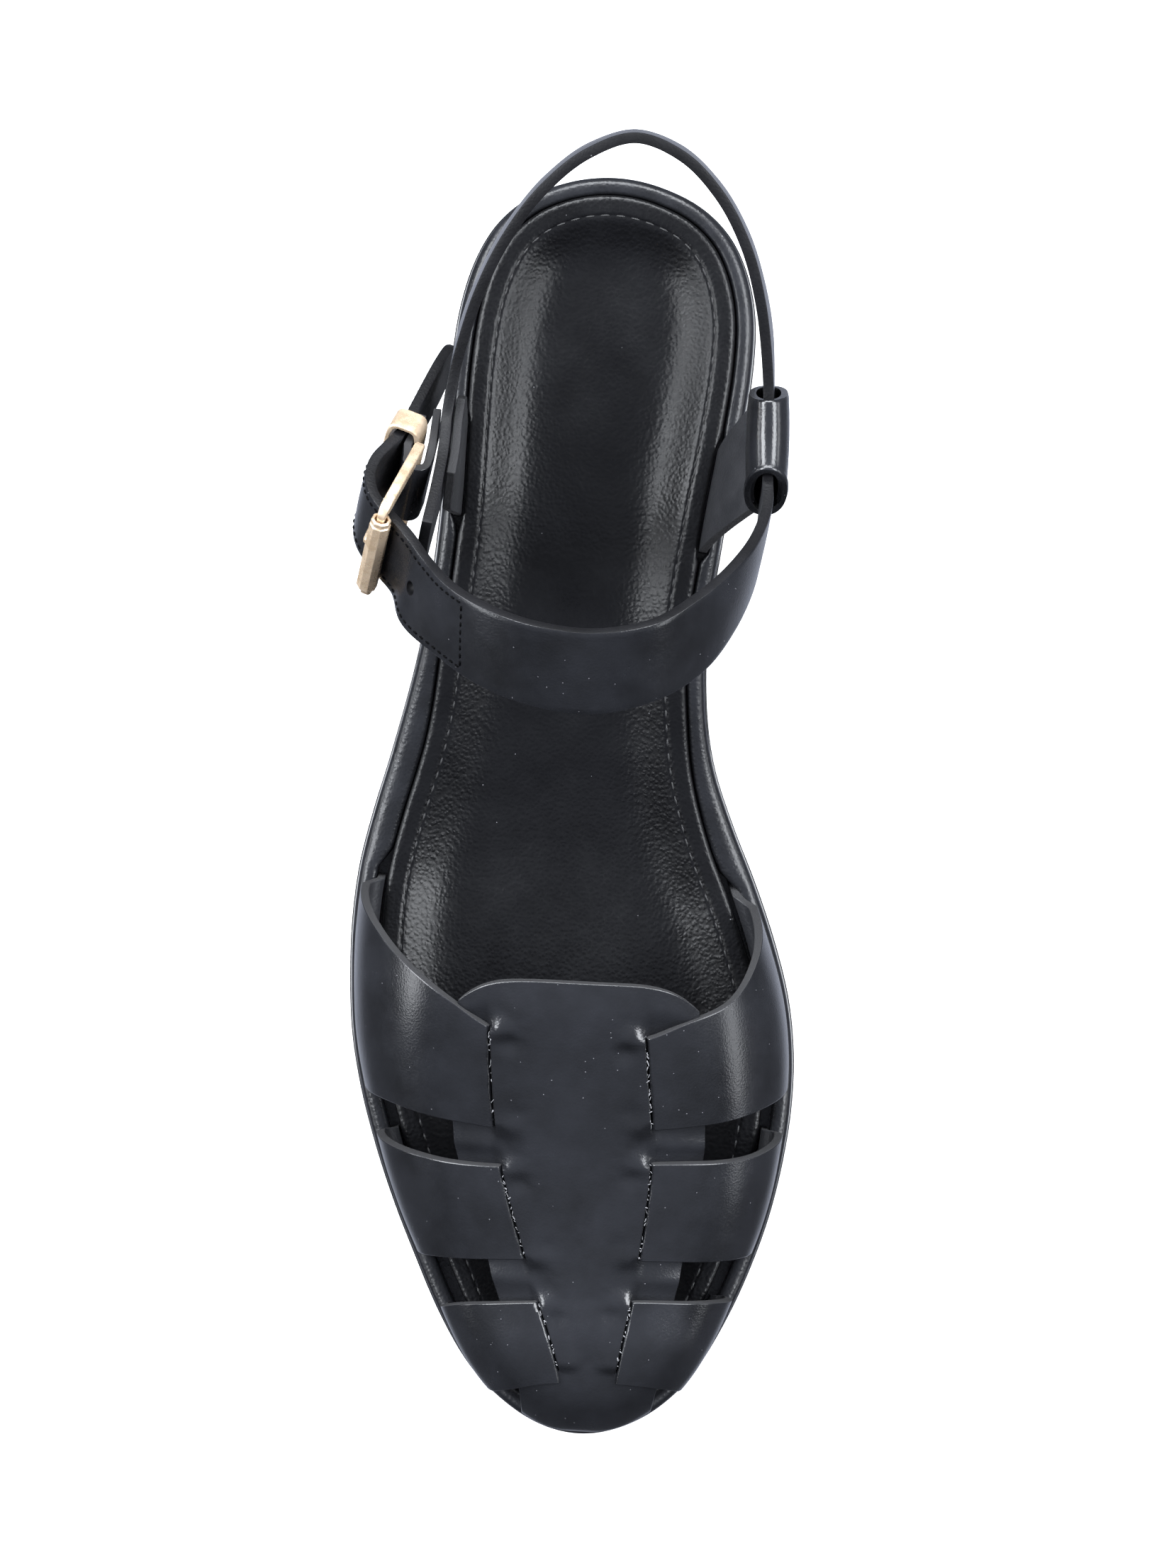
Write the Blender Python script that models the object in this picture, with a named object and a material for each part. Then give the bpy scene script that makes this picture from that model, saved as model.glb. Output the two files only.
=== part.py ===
"""Fisherman sandal, right shoe, with a woven vamp and a buckled ankle strap.

All tables are in millimetres in the last's own measures: s runs from the heel end towards the toe,
m runs across towards the medial side, and z is the height above the floor.
In the world, +Z is up, the toe points along -Y and the medial side along +X.
"""
import math

import bmesh
import bpy
import numpy as np
from mathutils import Vector

MM = 0.001
GAP = 0.3                  # clearance between pieces that touch

# Driving sizes of the sole
LENGTH = 262.0             # outsole, heel end to toe tip
TOE_TIP = 6.2              # m of the toe tip
TOE_RADIUS = 25.0          # of the outline at the toe tip
MIDDLE = 130.6             # s of the origin, half way along the whole sandal
RING_POINTS = 96           # corners of every outline ring round the sole
TOP_LIFT = 4.5             # thickness of the top-lift
HEEL_SEAT = 16.0           # floor to the underside of the outsole at the heel
HEEL_BREAST = 62.0         # where the outsole leaves the heel
TREAD = (152.0, 214.0)     # the stretch of the outsole that lies on the floor
TOE_SPRING = 7.0           # lift of the toe tip
OUTSOLE = 4.0              # thickness of the outsole
PAD_RECESS = 1.0           # depth of the forefoot pad's pocket
RIM = 6.4                  # height of the wrapped rim above the outsole
WIDEST = 3.0               # height of the vamp's widest line above the rim
PLATE = 1.6                # midsole plate inside the rim
BREAST_RADIUS = 73.0       # curve of the heel breast, seen from below
BREAST_MIDDLE = -1.0       # m of that curve's middle
HEEL_RUN = 76.0            # the heel is built this far and then cut back to its breast
HEEL_POINTS = 41           # corners along each side of the heel
FOOTBED_WALL = (4.5, 6.6)  # inset of the footbed's wall, at the open rim and beside the vamp
RIM_WALL = 4.0             # inset of the rim's inner wall
FOOTBED_EDGE = 6.0         # height of the footbed's edge above the plate

# Driving sizes of the leather
STRAP = 1.8                # vamp and tab leather
BAND = 2.1                 # doubled ankle strap leather
CHANNEL = 5.35             # inset of the channel that the vamp comes up from
TAB_CHANNEL = 3.9          # inset of the slots that the tabs come up from
BULGE = 1.8                # inset of the vamp at its widest, outside
FLESH = BULGE + STRAP      # the same for the inside of its leather

# Outsole outline: s, lateral edge, medial edge
OUTLINE = [
    (0.0, 0.0, 0.0), (1.5, -9.9, 9.7), (5.0, -17.6, 17.8), (11.0, -24.1, 24.5), (17.0, -27.5, 27.9),
    (28.0, -30.7, 30.7), (40.0, -32.0, 30.7), (52.0, -32.4, 29.4), (75.0, -33.0, 26.3),
    (98.5, -35.6, 24.4), (122.0, -40.8, 27.7), (133.5, -43.8, 32.2), (145.0, -46.2, 37.4),
    (157.0, -47.2, 42.1), (169.0, -47.0, 45.7), (180.5, -46.0, 47.4), (192.0, -43.6, 47.5),
    (204.0, -39.9, 46.2), (215.5, -35.5, 43.9), (227.0, -30.3, 40.3), (239.0, -24.3, 35.2),
    (251.0, -15.9, 27.8), (256.5, -9.4, 21.9), (260.5, -2.0, 14.4), (LENGTH, TOE_TIP, TOE_TIP)]

# Forefoot pad outline: s, lateral edge, medial edge
PAD_OUTLINE = [
    (131.0, -10.0, -10.0), (134.0, -24.0, 6.0), (142.0, -33.5, 19.0), (155.0, -38.5, 30.0),
    (170.0, -38.8, 36.7), (185.0, -36.5, 38.8), (200.0, -32.6, 38.4), (215.0, -27.0, 35.6),
    (230.0, -19.6, 30.6), (243.0, -10.6, 23.0), (250.0, -3.6, 16.6), (254.0, 6.5, 6.5)]

# Crown of the last over the vamp: s, height above the rim, m of the ridge
CROWN = [
    (138.0, 50.0, -1.0), (168.0, 43.0, -1.0), (185.0, 36.0, 1.0), (200.0, 30.0, 3.0),
    (215.0, 24.5, 5.0), (230.0, 19.5, 6.5), (243.0, 16.0, 7.0), (262.0, 12.0, 7.0)]
TOE_ROUND = 238.0          # the crown rounds down to the toe from here
SIDE_POWER = 2.8           # fullness of the vamp's sides, 2 is an ellipse

# Centre strip of the vamp: s, lateral edge, lateral slit, medial slit, medial edge
CENTRE_STRIP = [
    (165.2, -22.2, -16.3, 14.6, 25.1), (172.0, -23.0, -15.9, 14.7, 25.8),
    (199.0, -22.0, -13.0, 17.4, 28.2), (228.0, -12.8, -4.6, 15.4, 24.4),
    (250.0, -6.4, 2.4, 12.4, 21.3), (262.0, -5.0, 2.8, 12.0, 19.8)]
SLIT = 0.8                 # width over which the strip steps at a slit
STRIP_RUN = (165.2, 246.0)  # the strip's rear end, and where it turns down to the toe
REAR_ROUND = 4.8           # its rear corners are rounded off by this much
FLAT_ROWS, TURN_ROWS, DOWN_ROWS = 18, 6, 2  # rows over the crown, round the toe and into the channel

# Cross straps, by place round the arch (-1 lateral side, 0 crown, 1 medial side): place, rear, front
CROSS_STRAPS = [
    [(-1.3, 147.0, 190.0), (-1.0, 149.0, 190.5), (-0.67, 156.5, 192.0), (-0.46, 163.5, 193.5),
     (-0.26, 170.3, 194.8), (-0.15, 174.8, 195.5), (0.15, 175.5, 194.3), (0.26, 172.5, 193.5),
     (0.46, 168.0, 191.8), (0.67, 160.5, 189.5), (1.0, 150.0, 186.5), (1.3, 144.5, 185.5)],
    [(-1.3, 199.5, 224.5), (-1.0, 200.0, 224.3), (-0.57, 202.3, 223.8), (-0.16, 203.3, 222.8),
     (0.11, 201.6, 222.0), (0.57, 200.0, 221.6), (1.0, 196.5, 221.0), (1.3, 196.0, 221.0)],
    [(-1.3, 235.5, 246.6), (-1.0, 235.3, 250.0), (-0.46, 233.0, 249.8), (-0.11, 231.7, 248.2),
     (0.11, 230.8, 247.8), (0.46, 230.5, 248.2), (1.0, 231.0, 248.8), (1.3, 231.5, 247.0)]]
CROSS_LIFT = 0.6           # a cross strap rides this high over the flange, and as low under the body

# Ankle strap, from its tongue under the buckle round the heel and over the instep:
# s, m, z, width, tilt of its face above the horizontal in degrees
ANKLE_STRAP = [
    (80.5, -33.6, 76.5, 11.5, 0), (72.0, -32.3, 68.8, 12.0, 0), (63.0, -31.2, 61.4, 12.5, 0),
    (55.0, -30.9, 57.6, 12.5, 0), (46.0, -30.0, 58.4, 12.5, 2), (37.0, -28.2, 62.0, 12.5, 6),
    (28.0, -25.2, 66.5, 12.5, 7), (18.0, -20.2, 71.3, 12.5, 8), (9.0, -13.4, 75.6, 12.5, 9.5),
    (2.2, -5.0, 78.3, 12.5, 11), (-0.8, 3.6, 79.2, 12.5, 11), (1.8, 12.4, 78.4, 12.5, 11),
    (8.5, 20.3, 76.0, 12.5, 9.5), (17.5, 26.2, 72.2, 12.5, 8), (27.0, 29.8, 67.6, 12.5, 7),
    (37.0, 32.0, 62.8, 12.5, 6), (47.0, 32.9, 59.2, 12.5, 2), (57.0, 33.2, 58.0, 12.5, 0),
    (66.0, 33.3, 60.2, 12.5, 0), (73.0, 32.9, 65.3, 13.5, 0), (80.0, 31.3, 72.3, 15.0, 10),
    (88.0, 27.3, 81.5, 16.8, 24), (96.0, 20.6, 91.5, 17.8, 40), (102.0, 11.5, 99.5, 18.0, 50),
    (104.6, 0.5, 103.0, 18.0, 58), (103.6, -10.5, 101.5, 18.0, 55), (100.3, -20.5, 96.2, 18.0, 48),
    (95.0, -29.1, 88.8, 17.3, 42), (90.0, -34.6, 83.4, 16.8, 40)]

# The buckle's own axes: along the strap, across it and outwards, from the middle of its rear bar
BUCKLE_AT = Vector((68.7, -37.1, 64.3))
BUCKLE_ALONG = Vector((16.3, -6.9, 16.0)).normalized()
BUCKLE_ACROSS = Vector((15.2, -3.6, -16.0))
BUCKLE_LONG = 21.0         # rear bar to roller
BUCKLE_WIDE = 22.5         # middle of one rail to the other
BUCKLE_CORNER = 1.45       # bend of the frame at its corners
BAR = 1.0                  # radius of the rear bar and of the roller's axle
RAIL = 1.35                # radius of a rail
ROLLER = (1.35, 0.75)      # inner radius and wall of the roller
PRONG = 0.75               # radius of the prong
PRONG_HOLE = 1.4           # radius of the strap's hole round the prong
HOLE_AT = (14.4, 0.0, 3.0)  # middle of that hole in the buckle's axes
CHAPE = 1.6                # chape leather
CHAPE_WIDE = 14.6
KEEPER_AT = -7.0           # middle of the keeper, along the strap
KEEPER = (5.5, 2.7, 9.0, 0.9)   # length, half depth and half height inside, wall
KEEPER_OUT = 4.85          # middle of the keeper, outwards

# The strap's run out through the buckle to its tip, in the buckle's axes: along, outwards, width
BUCKLE_RUN = [(20.6, -5.6, 16.6), (18.1, -1.9, 16.4), (16.0, 1.3, 16.2), (13.2, 4.4, 16.0),
              (9.5, 6.5, 16.0), (4.0, 7.3, 16.0), (-0.5, 6.5, 16.0), (-4.5, 5.7, 15.8),
              (-9.0, 5.45, 15.8), (-14.0, 5.55, 15.8), (-21.0, 5.7, 15.8), (-29.0, 5.8, 15.2),
              (-34.5, 5.8, 12.5), (-38.5, 5.8, 6.5)]

# The chape's fold round the rear bar, in the buckle's axes: along, outwards
CHAPE_FOLD = BAR + GAP + CHAPE / 2
CHAPE_INNER = [(-16.0, 0.7), (-12.0, 0.0), (-9.5, -0.4), (-7.0, -0.8), (-3.5, -1.8)]
CHAPE_OUTER = [(-3.2, 3.25), (-7.0, 3.35), (-10.0, 3.4), (-12.5, 3.45)]

MEDIAL_TAB = (56.0, 77.0)  # stretch of the rim that the medial tab comes up from
LATERAL_TAB = (52.5, 72.0)
SLEEVE = (46.0, 66.0)      # stretch of the strap that the medial tab's loop wraps
SLEEVE_HALF = (2.4, 7.2)   # half depth and half height of the loop's inside
SLEEVE_WALL = 1.6
LATERAL_TOP = (50.0, 68.5)  # stretch of the slingback that the lateral tab is sewn to
STRAP_STEPS = 112          # rows along the ankle strap


def clear_scene():
    for item in list(bpy.data.objects):
        bpy.data.objects.remove(item, do_unlink=True)


def world(s, m, z):
    """A point of the last's measures in the world, in metres."""
    return Vector((m * MM, (MIDDLE - s) * MM, z * MM))


def smooth(value, start, end):
    t = min(max((value - start) / (end - start), 0.0), 1.0)
    return t * t * (3.0 - 2.0 * t)


def read_table(rows, at, scale=None):
    """All the other columns of a table at a place in its first column, on one smooth curve."""
    rows = np.asarray(rows, float)
    if scale:
        start, end = rows[0, 0], rows[-1, 0]
        rows = rows.copy()
        rows[:, 0] = [scale(x, start, end) for x in rows[:, 0]]
        at = scale(at, start, end)
    x = rows[:, 0]
    at = min(max(at, x[0]), x[-1])
    k = min(max(int(np.searchsorted(x, at)) - 1, 0), len(x) - 2)
    slope = np.gradient(rows[:, 1:], x, axis=0)
    h = x[k + 1] - x[k]
    t = (at - x[k]) / h
    return ((2 * t**3 - 3 * t**2 + 1) * rows[k, 1:] + (t**3 - 2 * t**2 + t) * h * slope[k]
            + (3 * t**2 - 2 * t**3) * rows[k + 1, 1:] + (t**3 - t**2) * h * slope[k + 1])


def round_end(x, start, end):
    """The angle whose cosine places x between two round ends, so that a table rounds them."""
    return math.acos(min(max(1.0 - 2.0 * (x - start) / (end - start), -1.0), 1.0))


def edge(s, side, inset=0.0):
    """m of the outline at s, moved inwards square to the outline; side is -1 lateral, 1 medial."""
    column = 0 if side < 0 else 1
    here = read_table(OUTLINE, s, round_end)[column]
    step = 0.5
    ahead = read_table(OUTLINE, min(s + step, LENGTH), round_end)[column]
    behind = read_table(OUTLINE, max(s - step, 0.0), round_end)[column]
    slope = min(abs(ahead - behind) / (2 * step), 2.5)
    return here - side * inset * math.sqrt(1.0 + slope * slope)


def shank(s):
    """Underside of the outsole: heel seat, waist, flat tread and toe spring."""
    waist = HEEL_SEAT * (1.0 - smooth(s, HEEL_BREAST, TREAD[0]))
    spring = max(s - TREAD[1], 0.0) / (LENGTH - TREAD[1])
    return waist + TOE_SPRING * spring**2


def plate_top(s):
    """Top of the midsole plate, where the footbed lies and the straps are held."""
    return shank(s) + OUTSOLE + GAP + PLATE


def rim_top(s):
    return shank(s) + OUTSOLE + GAP + RIM


def material(name, colour, roughness, metallic=0.0):
    made = bpy.data.materials.new(name)
    made.use_nodes = True
    shader = made.node_tree.nodes["Principled BSDF"]
    shader.inputs["Base Color"].default_value = (*colour, 1.0)
    shader.inputs["Roughness"].default_value = roughness
    shader.inputs["Metallic"].default_value = metallic
    return made


def make_object(name, bm, finish, crease=35.0):
    """Turn a bmesh into a named object, shaded smooth with sharp edges kept."""
    mesh = bpy.data.meshes.new(name)
    bm.to_mesh(mesh)
    bm.free()
    mesh.shade_smooth()
    mesh.set_sharp_from_angle(angle=math.radians(crease))
    mesh.materials.append(finish)
    made = bpy.data.objects.new(name, mesh)
    bpy.context.collection.objects.link(made)
    return made


def hide_cutter(made):
    made.hide_render = True
    made.display_type = "WIRE"


def combine(target, other, operation):
    """A live Boolean between two solids; the other one is then only a guide."""
    cut = target.modifiers.new(other.name, "BOOLEAN")
    cut.operation = operation
    cut.object = other
    cut.solver = "EXACT"
    cut.use_self = operation == "UNION"
    hide_cutter(other)


def outline_loop(rows, points):
    """Plan points round an outline, from its heel end up the medial side and back down the lateral."""
    start, end = rows[0][0], rows[-1][0]
    loop = []
    for i in range(points):
        angle = 2.0 * math.pi * i / points
        s = start + (end - start) * (1.0 - math.cos(angle)) / 2.0
        lateral, medial = read_table(rows, s, round_end)
        loop.append((s, medial if angle <= math.pi else lateral))
    return loop


def inset_ring(loop, inset, height):
    """A ring moved inwards from a plan loop; inset and height may depend on s and the side."""
    ring = []
    count = len(loop)
    for i, (s, m) in enumerate(loop):
        along = Vector(loop[(i + 1) % count]) - Vector(loop[i - 1])
        along.normalize()
        side = 1 if 0 < i < count / 2 else -1
        depth = inset(s, side) if callable(inset) else inset
        s_in = s + along.y * depth
        m_in = m - along.x * depth
        ring.append(world(s_in, m_in, height(s_in)))
    return ring


def sole_solid(name, loop, profile, finish):
    """A solid from rings stacked along a profile, closed underneath and on top across the sole."""
    bm = bmesh.new()
    rings = [[bm.verts.new(p) for p in inset_ring(loop, inset, height)] for inset, height in profile]
    count = len(loop)
    for low, high in zip(rings, rings[1:]):
        for i in range(count):
            j = (i + 1) % count
            bm.faces.new((low[i], low[j], high[j], high[i]))
    for ring in (rings[0], rings[-1]):
        half = count // 2
        bm.faces.new((ring[0], ring[1], ring[-1]))
        for i in range(1, half - 1):
            bm.faces.new((ring[i], ring[i + 1], ring[count - i - 1], ring[count - i]))
        bm.faces.new((ring[half - 1], ring[half], ring[half + 1]))
    bmesh.ops.recalc_face_normals(bm, faces=bm.faces)
    return make_object(name, bm, finish)


def above(base, height):
    return lambda s: base(s) + height


def floor_level(height):
    return lambda s: height


def sheet(name, across, along, place, thickness, finish, lift=None, offset=1.0, outward=None):
    """A leather sheet: a grid laid through place(u, w), lifted along its normals, then given its wall."""
    bm = bmesh.new()
    bmesh.ops.create_grid(bm, x_segments=across, y_segments=along, size=0.5)
    grid = [(v, v.co.x + 0.5, v.co.y + 0.5) for v in bm.verts]
    for v, u, w in grid:
        v.co = place(u, w)
    bm.normal_update()
    middle = min(grid, key=lambda entry: abs(entry[1] - 0.5) + abs(entry[2] - 0.5))
    if middle[0].normal.dot(outward or Vector((0, 0, 1))) < 0:
        bmesh.ops.reverse_faces(bm, faces=bm.faces)
        bm.normal_update()
    if lift:
        raised = [v.co + v.normal * lift(u, w) * MM for v, u, w in grid]
        for (v, u, w), co in zip(grid, raised):
            v.co = co
    made = make_object(name, bm, finish)
    wall = made.modifiers.new("wall", "SOLIDIFY")
    wall.thickness = thickness * MM
    wall.offset = offset
    wall.use_even_offset = False
    return made


# ---- the last over the vamp ----

def crown(s):
    height, ridge = read_table(CROWN, s)
    toe = max(s - TOE_ROUND, 0.0) / (LENGTH - FLESH - TOE_ROUND)
    return height * math.sqrt(max(1.0 - toe * toe, 0.0)), ridge


def last_height(s, m):
    """Height of the last over a plan point of the vamp."""
    height, ridge = crown(s)
    side = 1 if m > ridge else -1
    half = abs(edge(s, side, FLESH) - ridge)
    reach = min(abs(m - ridge) / max(half, 0.01), 1.0)
    return rim_top(s) + WIDEST + height * (1.0 - reach**SIDE_POWER) ** (1.0 / SIDE_POWER)


def last_side(s, place):
    """A point round the arch at s: 0 is the crown, 1 and -1 the widest, and past them the channel."""
    height, ridge = crown(s)
    side = 1 if place > 0 else -1
    turn = min(abs(place), 1.0) * math.pi / 2
    half = abs(edge(s, side, FLESH) - ridge)
    m = ridge + side * half * math.sin(turn) ** (2.0 / SIDE_POWER)
    z = rim_top(s) + WIDEST + height * max(math.cos(turn), 0.0) ** (2.0 / SIDE_POWER)
    if abs(place) > 1.0:
        down = (abs(place) - 1.0) / 0.3
        channel = edge(s, side, CHANNEL + STRAP / 2)
        m += (channel - m) * smooth(down, 0.0, WIDEST / (RIM + WIDEST - PLATE))
        z -= down * (RIM + WIDEST - PLATE - GAP)
    return m, z


# ---- sole ----

def footbed_inset(s, side):
    """Inset of the footbed's wall: wider where the vamp comes up beside it."""
    widened = smooth(s, 92.0, 120.0) if side < 0 else smooth(s, 108.0, 139.0)
    return FOOTBED_WALL[0] + (FOOTBED_WALL[1] - FOOTBED_WALL[0]) * widened


def deeper(extra):
    return lambda s, side: footbed_inset(s, side) + extra


def rim_inset(extra):
    """Inset of the rim's inner side: it follows the footbed, and leaves the vamp its channel."""
    return lambda s, side: (RIM_WALL + extra
                            + (footbed_inset(s, side) - FOOTBED_WALL[0]) * (1.0 - smooth(s, 131.0, 139.0)))


def cup(s, depth):
    """Footbed height a given share of the way down into its cup, deepest at the heel."""
    hollow = 4.0 - 0.6 * smooth(s, 40.0, 110.0) - 2.2 * smooth(s, 125.0, 185.0)
    return plate_top(s) + FOOTBED_EDGE - hollow * depth


def build_sole(finishes):
    whole = outline_loop(OUTLINE, RING_POINTS)
    pad_loop = outline_loop(PAD_OUTLINE, RING_POINTS // 2)
    under = above(shank, 0.0)
    outsole = sole_solid("outsole", whole, [
        (0.8, under), (0.0, above(shank, 0.7)), (0.0, above(shank, OUTSOLE - 0.5)),
        (0.5, above(shank, OUTSOLE))], finishes["outsole"])
    pocket = sole_solid("pad_pocket", pad_loop, [
        (-GAP, floor_level(-4.0)), (-GAP, above(shank, PAD_RECESS + GAP))], finishes["outsole"])
    combine(outsole, pocket, "DIFFERENCE")
    sole_solid("forefoot_pad", pad_loop, [
        (0.4, above(shank, 0.0)), (0.0, above(shank, 0.3)), (0.0, above(shank, PAD_RECESS))],
        finishes["pad"])

    breast = breast_cutter(finishes["outsole"])
    heel_base = heel_outline()
    block = sole_solid("heel_block", heel_base, [
        (0.5, floor_level(TOP_LIFT + GAP)), (0.2, floor_level(HEEL_SEAT - 1.0)),
        (0.2, above(shank, -GAP))], finishes["heel"])
    combine(block, breast, "DIFFERENCE")
    lift = sole_solid("top_lift", heel_base, [
        (1.0, floor_level(0.0)), (0.5, floor_level(0.6)), (0.5, floor_level(TOP_LIFT))],
        finishes["pad"])
    combine(lift, breast, "DIFFERENCE")

    on_outsole = above(shank, OUTSOLE + GAP)
    midsole = sole_solid("midsole", whole, [
        (1.4, on_outsole), (0.7, above(on_outsole, 0.8)), (0.6, above(on_outsole, 3.4)),
        (1.1, above(on_outsole, 5.5)), (2.2, above(on_outsole, RIM)),
        (rim_inset(-0.6), above(on_outsole, 6.0)), (rim_inset(0.0), above(on_outsole, 5.0)),
        (rim_inset(0.0), plate_top)], finishes["rim"])
    bed = above(plate_top, GAP)
    footbed = sole_solid("footbed", whole, [
        (deeper(0.0), bed), (deeper(0.0), above(bed, 4.4)), (deeper(0.7), above(bed, 5.7)),
        (deeper(2.0), lambda s: cup(s, -0.04)), (deeper(4.6), lambda s: cup(s, 0.12)),
        (deeper(8.5), lambda s: cup(s, 0.55)), (deeper(13.5), lambda s: cup(s, 0.95)),
        (deeper(19.0), lambda s: cup(s, 1.0))], finishes["footbed"])
    for side, stretch in ((1, MEDIAL_TAB), (-1, LATERAL_TAB)):
        for solid in (midsole, footbed):
            combine(solid, tab_slot(side, stretch, finishes["rim"]), "DIFFERENCE")


def tab_slot(side, stretch, finish):
    """A cutter that makes room for a tab between the rim and the footbed."""
    start, end = stretch[0] - 2 * GAP, stretch[1] + 2 * GAP

    def place(u, w):
        s = start + (end - start) * u
        return world(s, edge(s, side, TAB_CHANNEL), plate_top(s) - GAP + 2 * RIM * w)

    return sheet("tab_slot", 6, 1, place, STRAP + 2 * GAP, finish, offset=0.0,
                 outward=Vector((side, 0, 0)))


def heel_outline():
    """The heel's stretch of the sole's outline, ended square past the breast."""
    angles = np.linspace(0.0, math.pi / 2, HEEL_POINTS)[1:]
    stations = [HEEL_RUN * (1.0 - math.cos(angle)) for angle in angles]
    medial = [(s, edge(s, 1)) for s in stations]
    lateral = [(s, edge(s, -1)) for s in reversed(stations)]
    return [(0.0, 0.0)] + medial + [(HEEL_RUN + 1.0, BREAST_MIDDLE)] + lateral


def breast_cutter(finish):
    """An upright cylinder in front of the heel, whose curve is the breast."""
    bm = bmesh.new()
    bmesh.ops.create_cone(bm, cap_ends=True, segments=96, radius1=BREAST_RADIUS * MM,
                          radius2=BREAST_RADIUS * MM, depth=60 * MM)
    bmesh.ops.translate(bm, verts=bm.verts,
                        vec=world(HEEL_BREAST + 1.0 + BREAST_RADIUS, BREAST_MIDDLE, 0.0))
    return make_object("breast_cutter", bm, finish)


# ---- vamp ----

def centre_columns(s):
    """Columns across the centre strip, doubled at each slit, and whether each is body or flange."""
    outer_l, slit_l, slit_m, outer_m = read_table(CENTRE_STRIP, s)
    half = SLIT / 2
    body = np.linspace(slit_l + half, slit_m - half, 4)
    return ([(outer_l, 0), ((outer_l + slit_l) / 2, 0), (slit_l - half, 0)] + [(m, 1) for m in body]
            + [(slit_m + half, 0), ((outer_m + slit_m) / 2, 0), (outer_m, 0)])


def strap_overlap(s, place):
    """1 where a cross strap lies over or under the centre strip at s, fading to 0 between straps."""
    over = 0.0
    for rows in CROSS_STRAPS:
        rear, front = read_table(rows, place)
        over = max(over, smooth(s, rear - 1.8, rear + 0.2) - smooth(s, front - 0.2, front + 1.8))
    return over


def build_vamp(finish):
    across, along = 9, FLAT_ROWS + TURN_ROWS + DOWN_ROWS
    rear, toe_start = STRIP_RUN
    drop = RIM + WIDEST - PLATE

    def toe_end(m, inset):
        return LENGTH - TOE_RADIUS + math.sqrt((TOE_RADIUS - inset) ** 2 - (m - TOE_TIP) ** 2)

    def centre_place(u, w):
        """Flat rows to the toe's rounding, then rows round it, and last down into the channel."""
        column = round(u * across)
        row = w * along
        if row <= FLAT_ROWS:
            s = rear + (toe_start - rear) * row / FLAT_ROWS
            columns = centre_columns(s)
            m, outer_l, outer_m = columns[column][0], columns[0][0], columns[-1][0]
            corner = abs(2.0 * (m - outer_l) / (outer_m - outer_l) - 1.0)
            s += REAR_ROUND * corner ** 5 * max(1.0 - row / 4.0, 0.0)
            return world(s, m, last_height(s, m))
        m = centre_columns(toe_start)[column][0]
        m_end = centre_columns(LENGTH)[column][0]
        turned = min((row - FLAT_ROWS) / TURN_ROWS, 1.0)
        turn = math.sin(turned * math.pi / 2)
        m += (m_end - m) * turn
        down = max((row - FLAT_ROWS - TURN_ROWS) / DOWN_ROWS, 0.0)
        inward = (CHANNEL + STRAP / 2 - FLESH) * smooth(down, 0.0, WIDEST / drop)
        s = toe_start + (toe_end(m, FLESH + inward) - toe_start) * turn
        z = last_height(s, m) if turned < 1.0 else rim_top(s) + WIDEST
        return world(s, m, z - down * (drop - 3 * GAP))

    def centre_lift(u, w):
        column = round(u * across)
        row = w * along
        if row > FLAT_ROWS:
            return 0.0
        s = rear + (toe_start - rear) * row / FLAT_ROWS
        body = centre_columns(s)[column][1]
        place = -0.16 if u < 0.5 else 0.16
        return CROSS_LIFT * strap_overlap(s, place) * (1 if body else -1)

    centre = sheet("vamp_weave", across, along, centre_place, STRAP, finish, centre_lift)
    for number, rows in enumerate(CROSS_STRAPS, 1):
        places = cross_places(rows)
        count = len(places) - 1

        def cross_place(u, w, rows=rows, places=places, count=count):
            place = places[round(w * count)]
            back, front = read_table(rows, place)
            s = back + (front - back) * u
            m, z = last_side(s, place)
            return world(s, m, z)

        def cross_lift(u, w, rows=rows, places=places, count=count):
            place = places[round(w * count)]
            middle = sum(read_table(rows, 0.0)) / 2
            outer_l, slit_l, slit_m, outer_m = read_table(CENTRE_STRIP, middle)
            m, _ = last_side(middle, place)
            under = smooth(m, slit_l - 1.0, slit_l + 1.0) - smooth(m, slit_m - 1.0, slit_m + 1.0)
            over = smooth(m, outer_l - 7.0, outer_l - 1.0) - smooth(m, outer_m + 1.0, outer_m + 7.0)
            return CROSS_LIFT * (over - 2.0 * under)

        strap = sheet(f"cross_strap_{number}", 3, count, cross_place, STRAP, finish, cross_lift)
        combine(centre, strap, "UNION")


def cross_places(rows):
    """Places round the arch for a cross strap: even over the sides, closer at the two slits."""
    back, front = read_table(rows, 0.0)
    s = (back + front) / 2
    _, slit_l, slit_m, _ = read_table(CENTRE_STRIP, s)
    _, ridge = crown(s)

    def place_of(m):
        side = 1 if m > ridge else -1
        half = abs(edge(s, side, FLESH) - ridge)
        return side * math.asin(min(abs(m - ridge) / half, 1.0) ** (SIDE_POWER / 2)) * 2 / math.pi

    left = [place_of(slit_l + step) for step in (-1.2, 0.0, 1.2)]
    right = [place_of(slit_m + step) for step in (-1.2, 0.0, 1.2)]
    outer = [-1.3, -1.2, -1.1, -1.0, -0.85, -0.7, -0.55]
    lateral = list(np.linspace(outer[-1], left[0], 4)[1:-1])
    medial = list(np.linspace(right[-1], -outer[-1], 4)[1:-1])
    crown_places = list(np.linspace(left[-1], right[0], 4)[1:-1])
    return outer + lateral + left + crown_places + right + medial + [-place for place in reversed(outer)]


# ---- ankle strap, tabs and buckle ----

def buckle_axes():
    """Along the strap, down across it, and outwards from the foot."""
    along = BUCKLE_ALONG
    across = (BUCKLE_ACROSS - along * BUCKLE_ACROSS.dot(along)).normalized()
    return along, across, across.cross(along)


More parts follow.
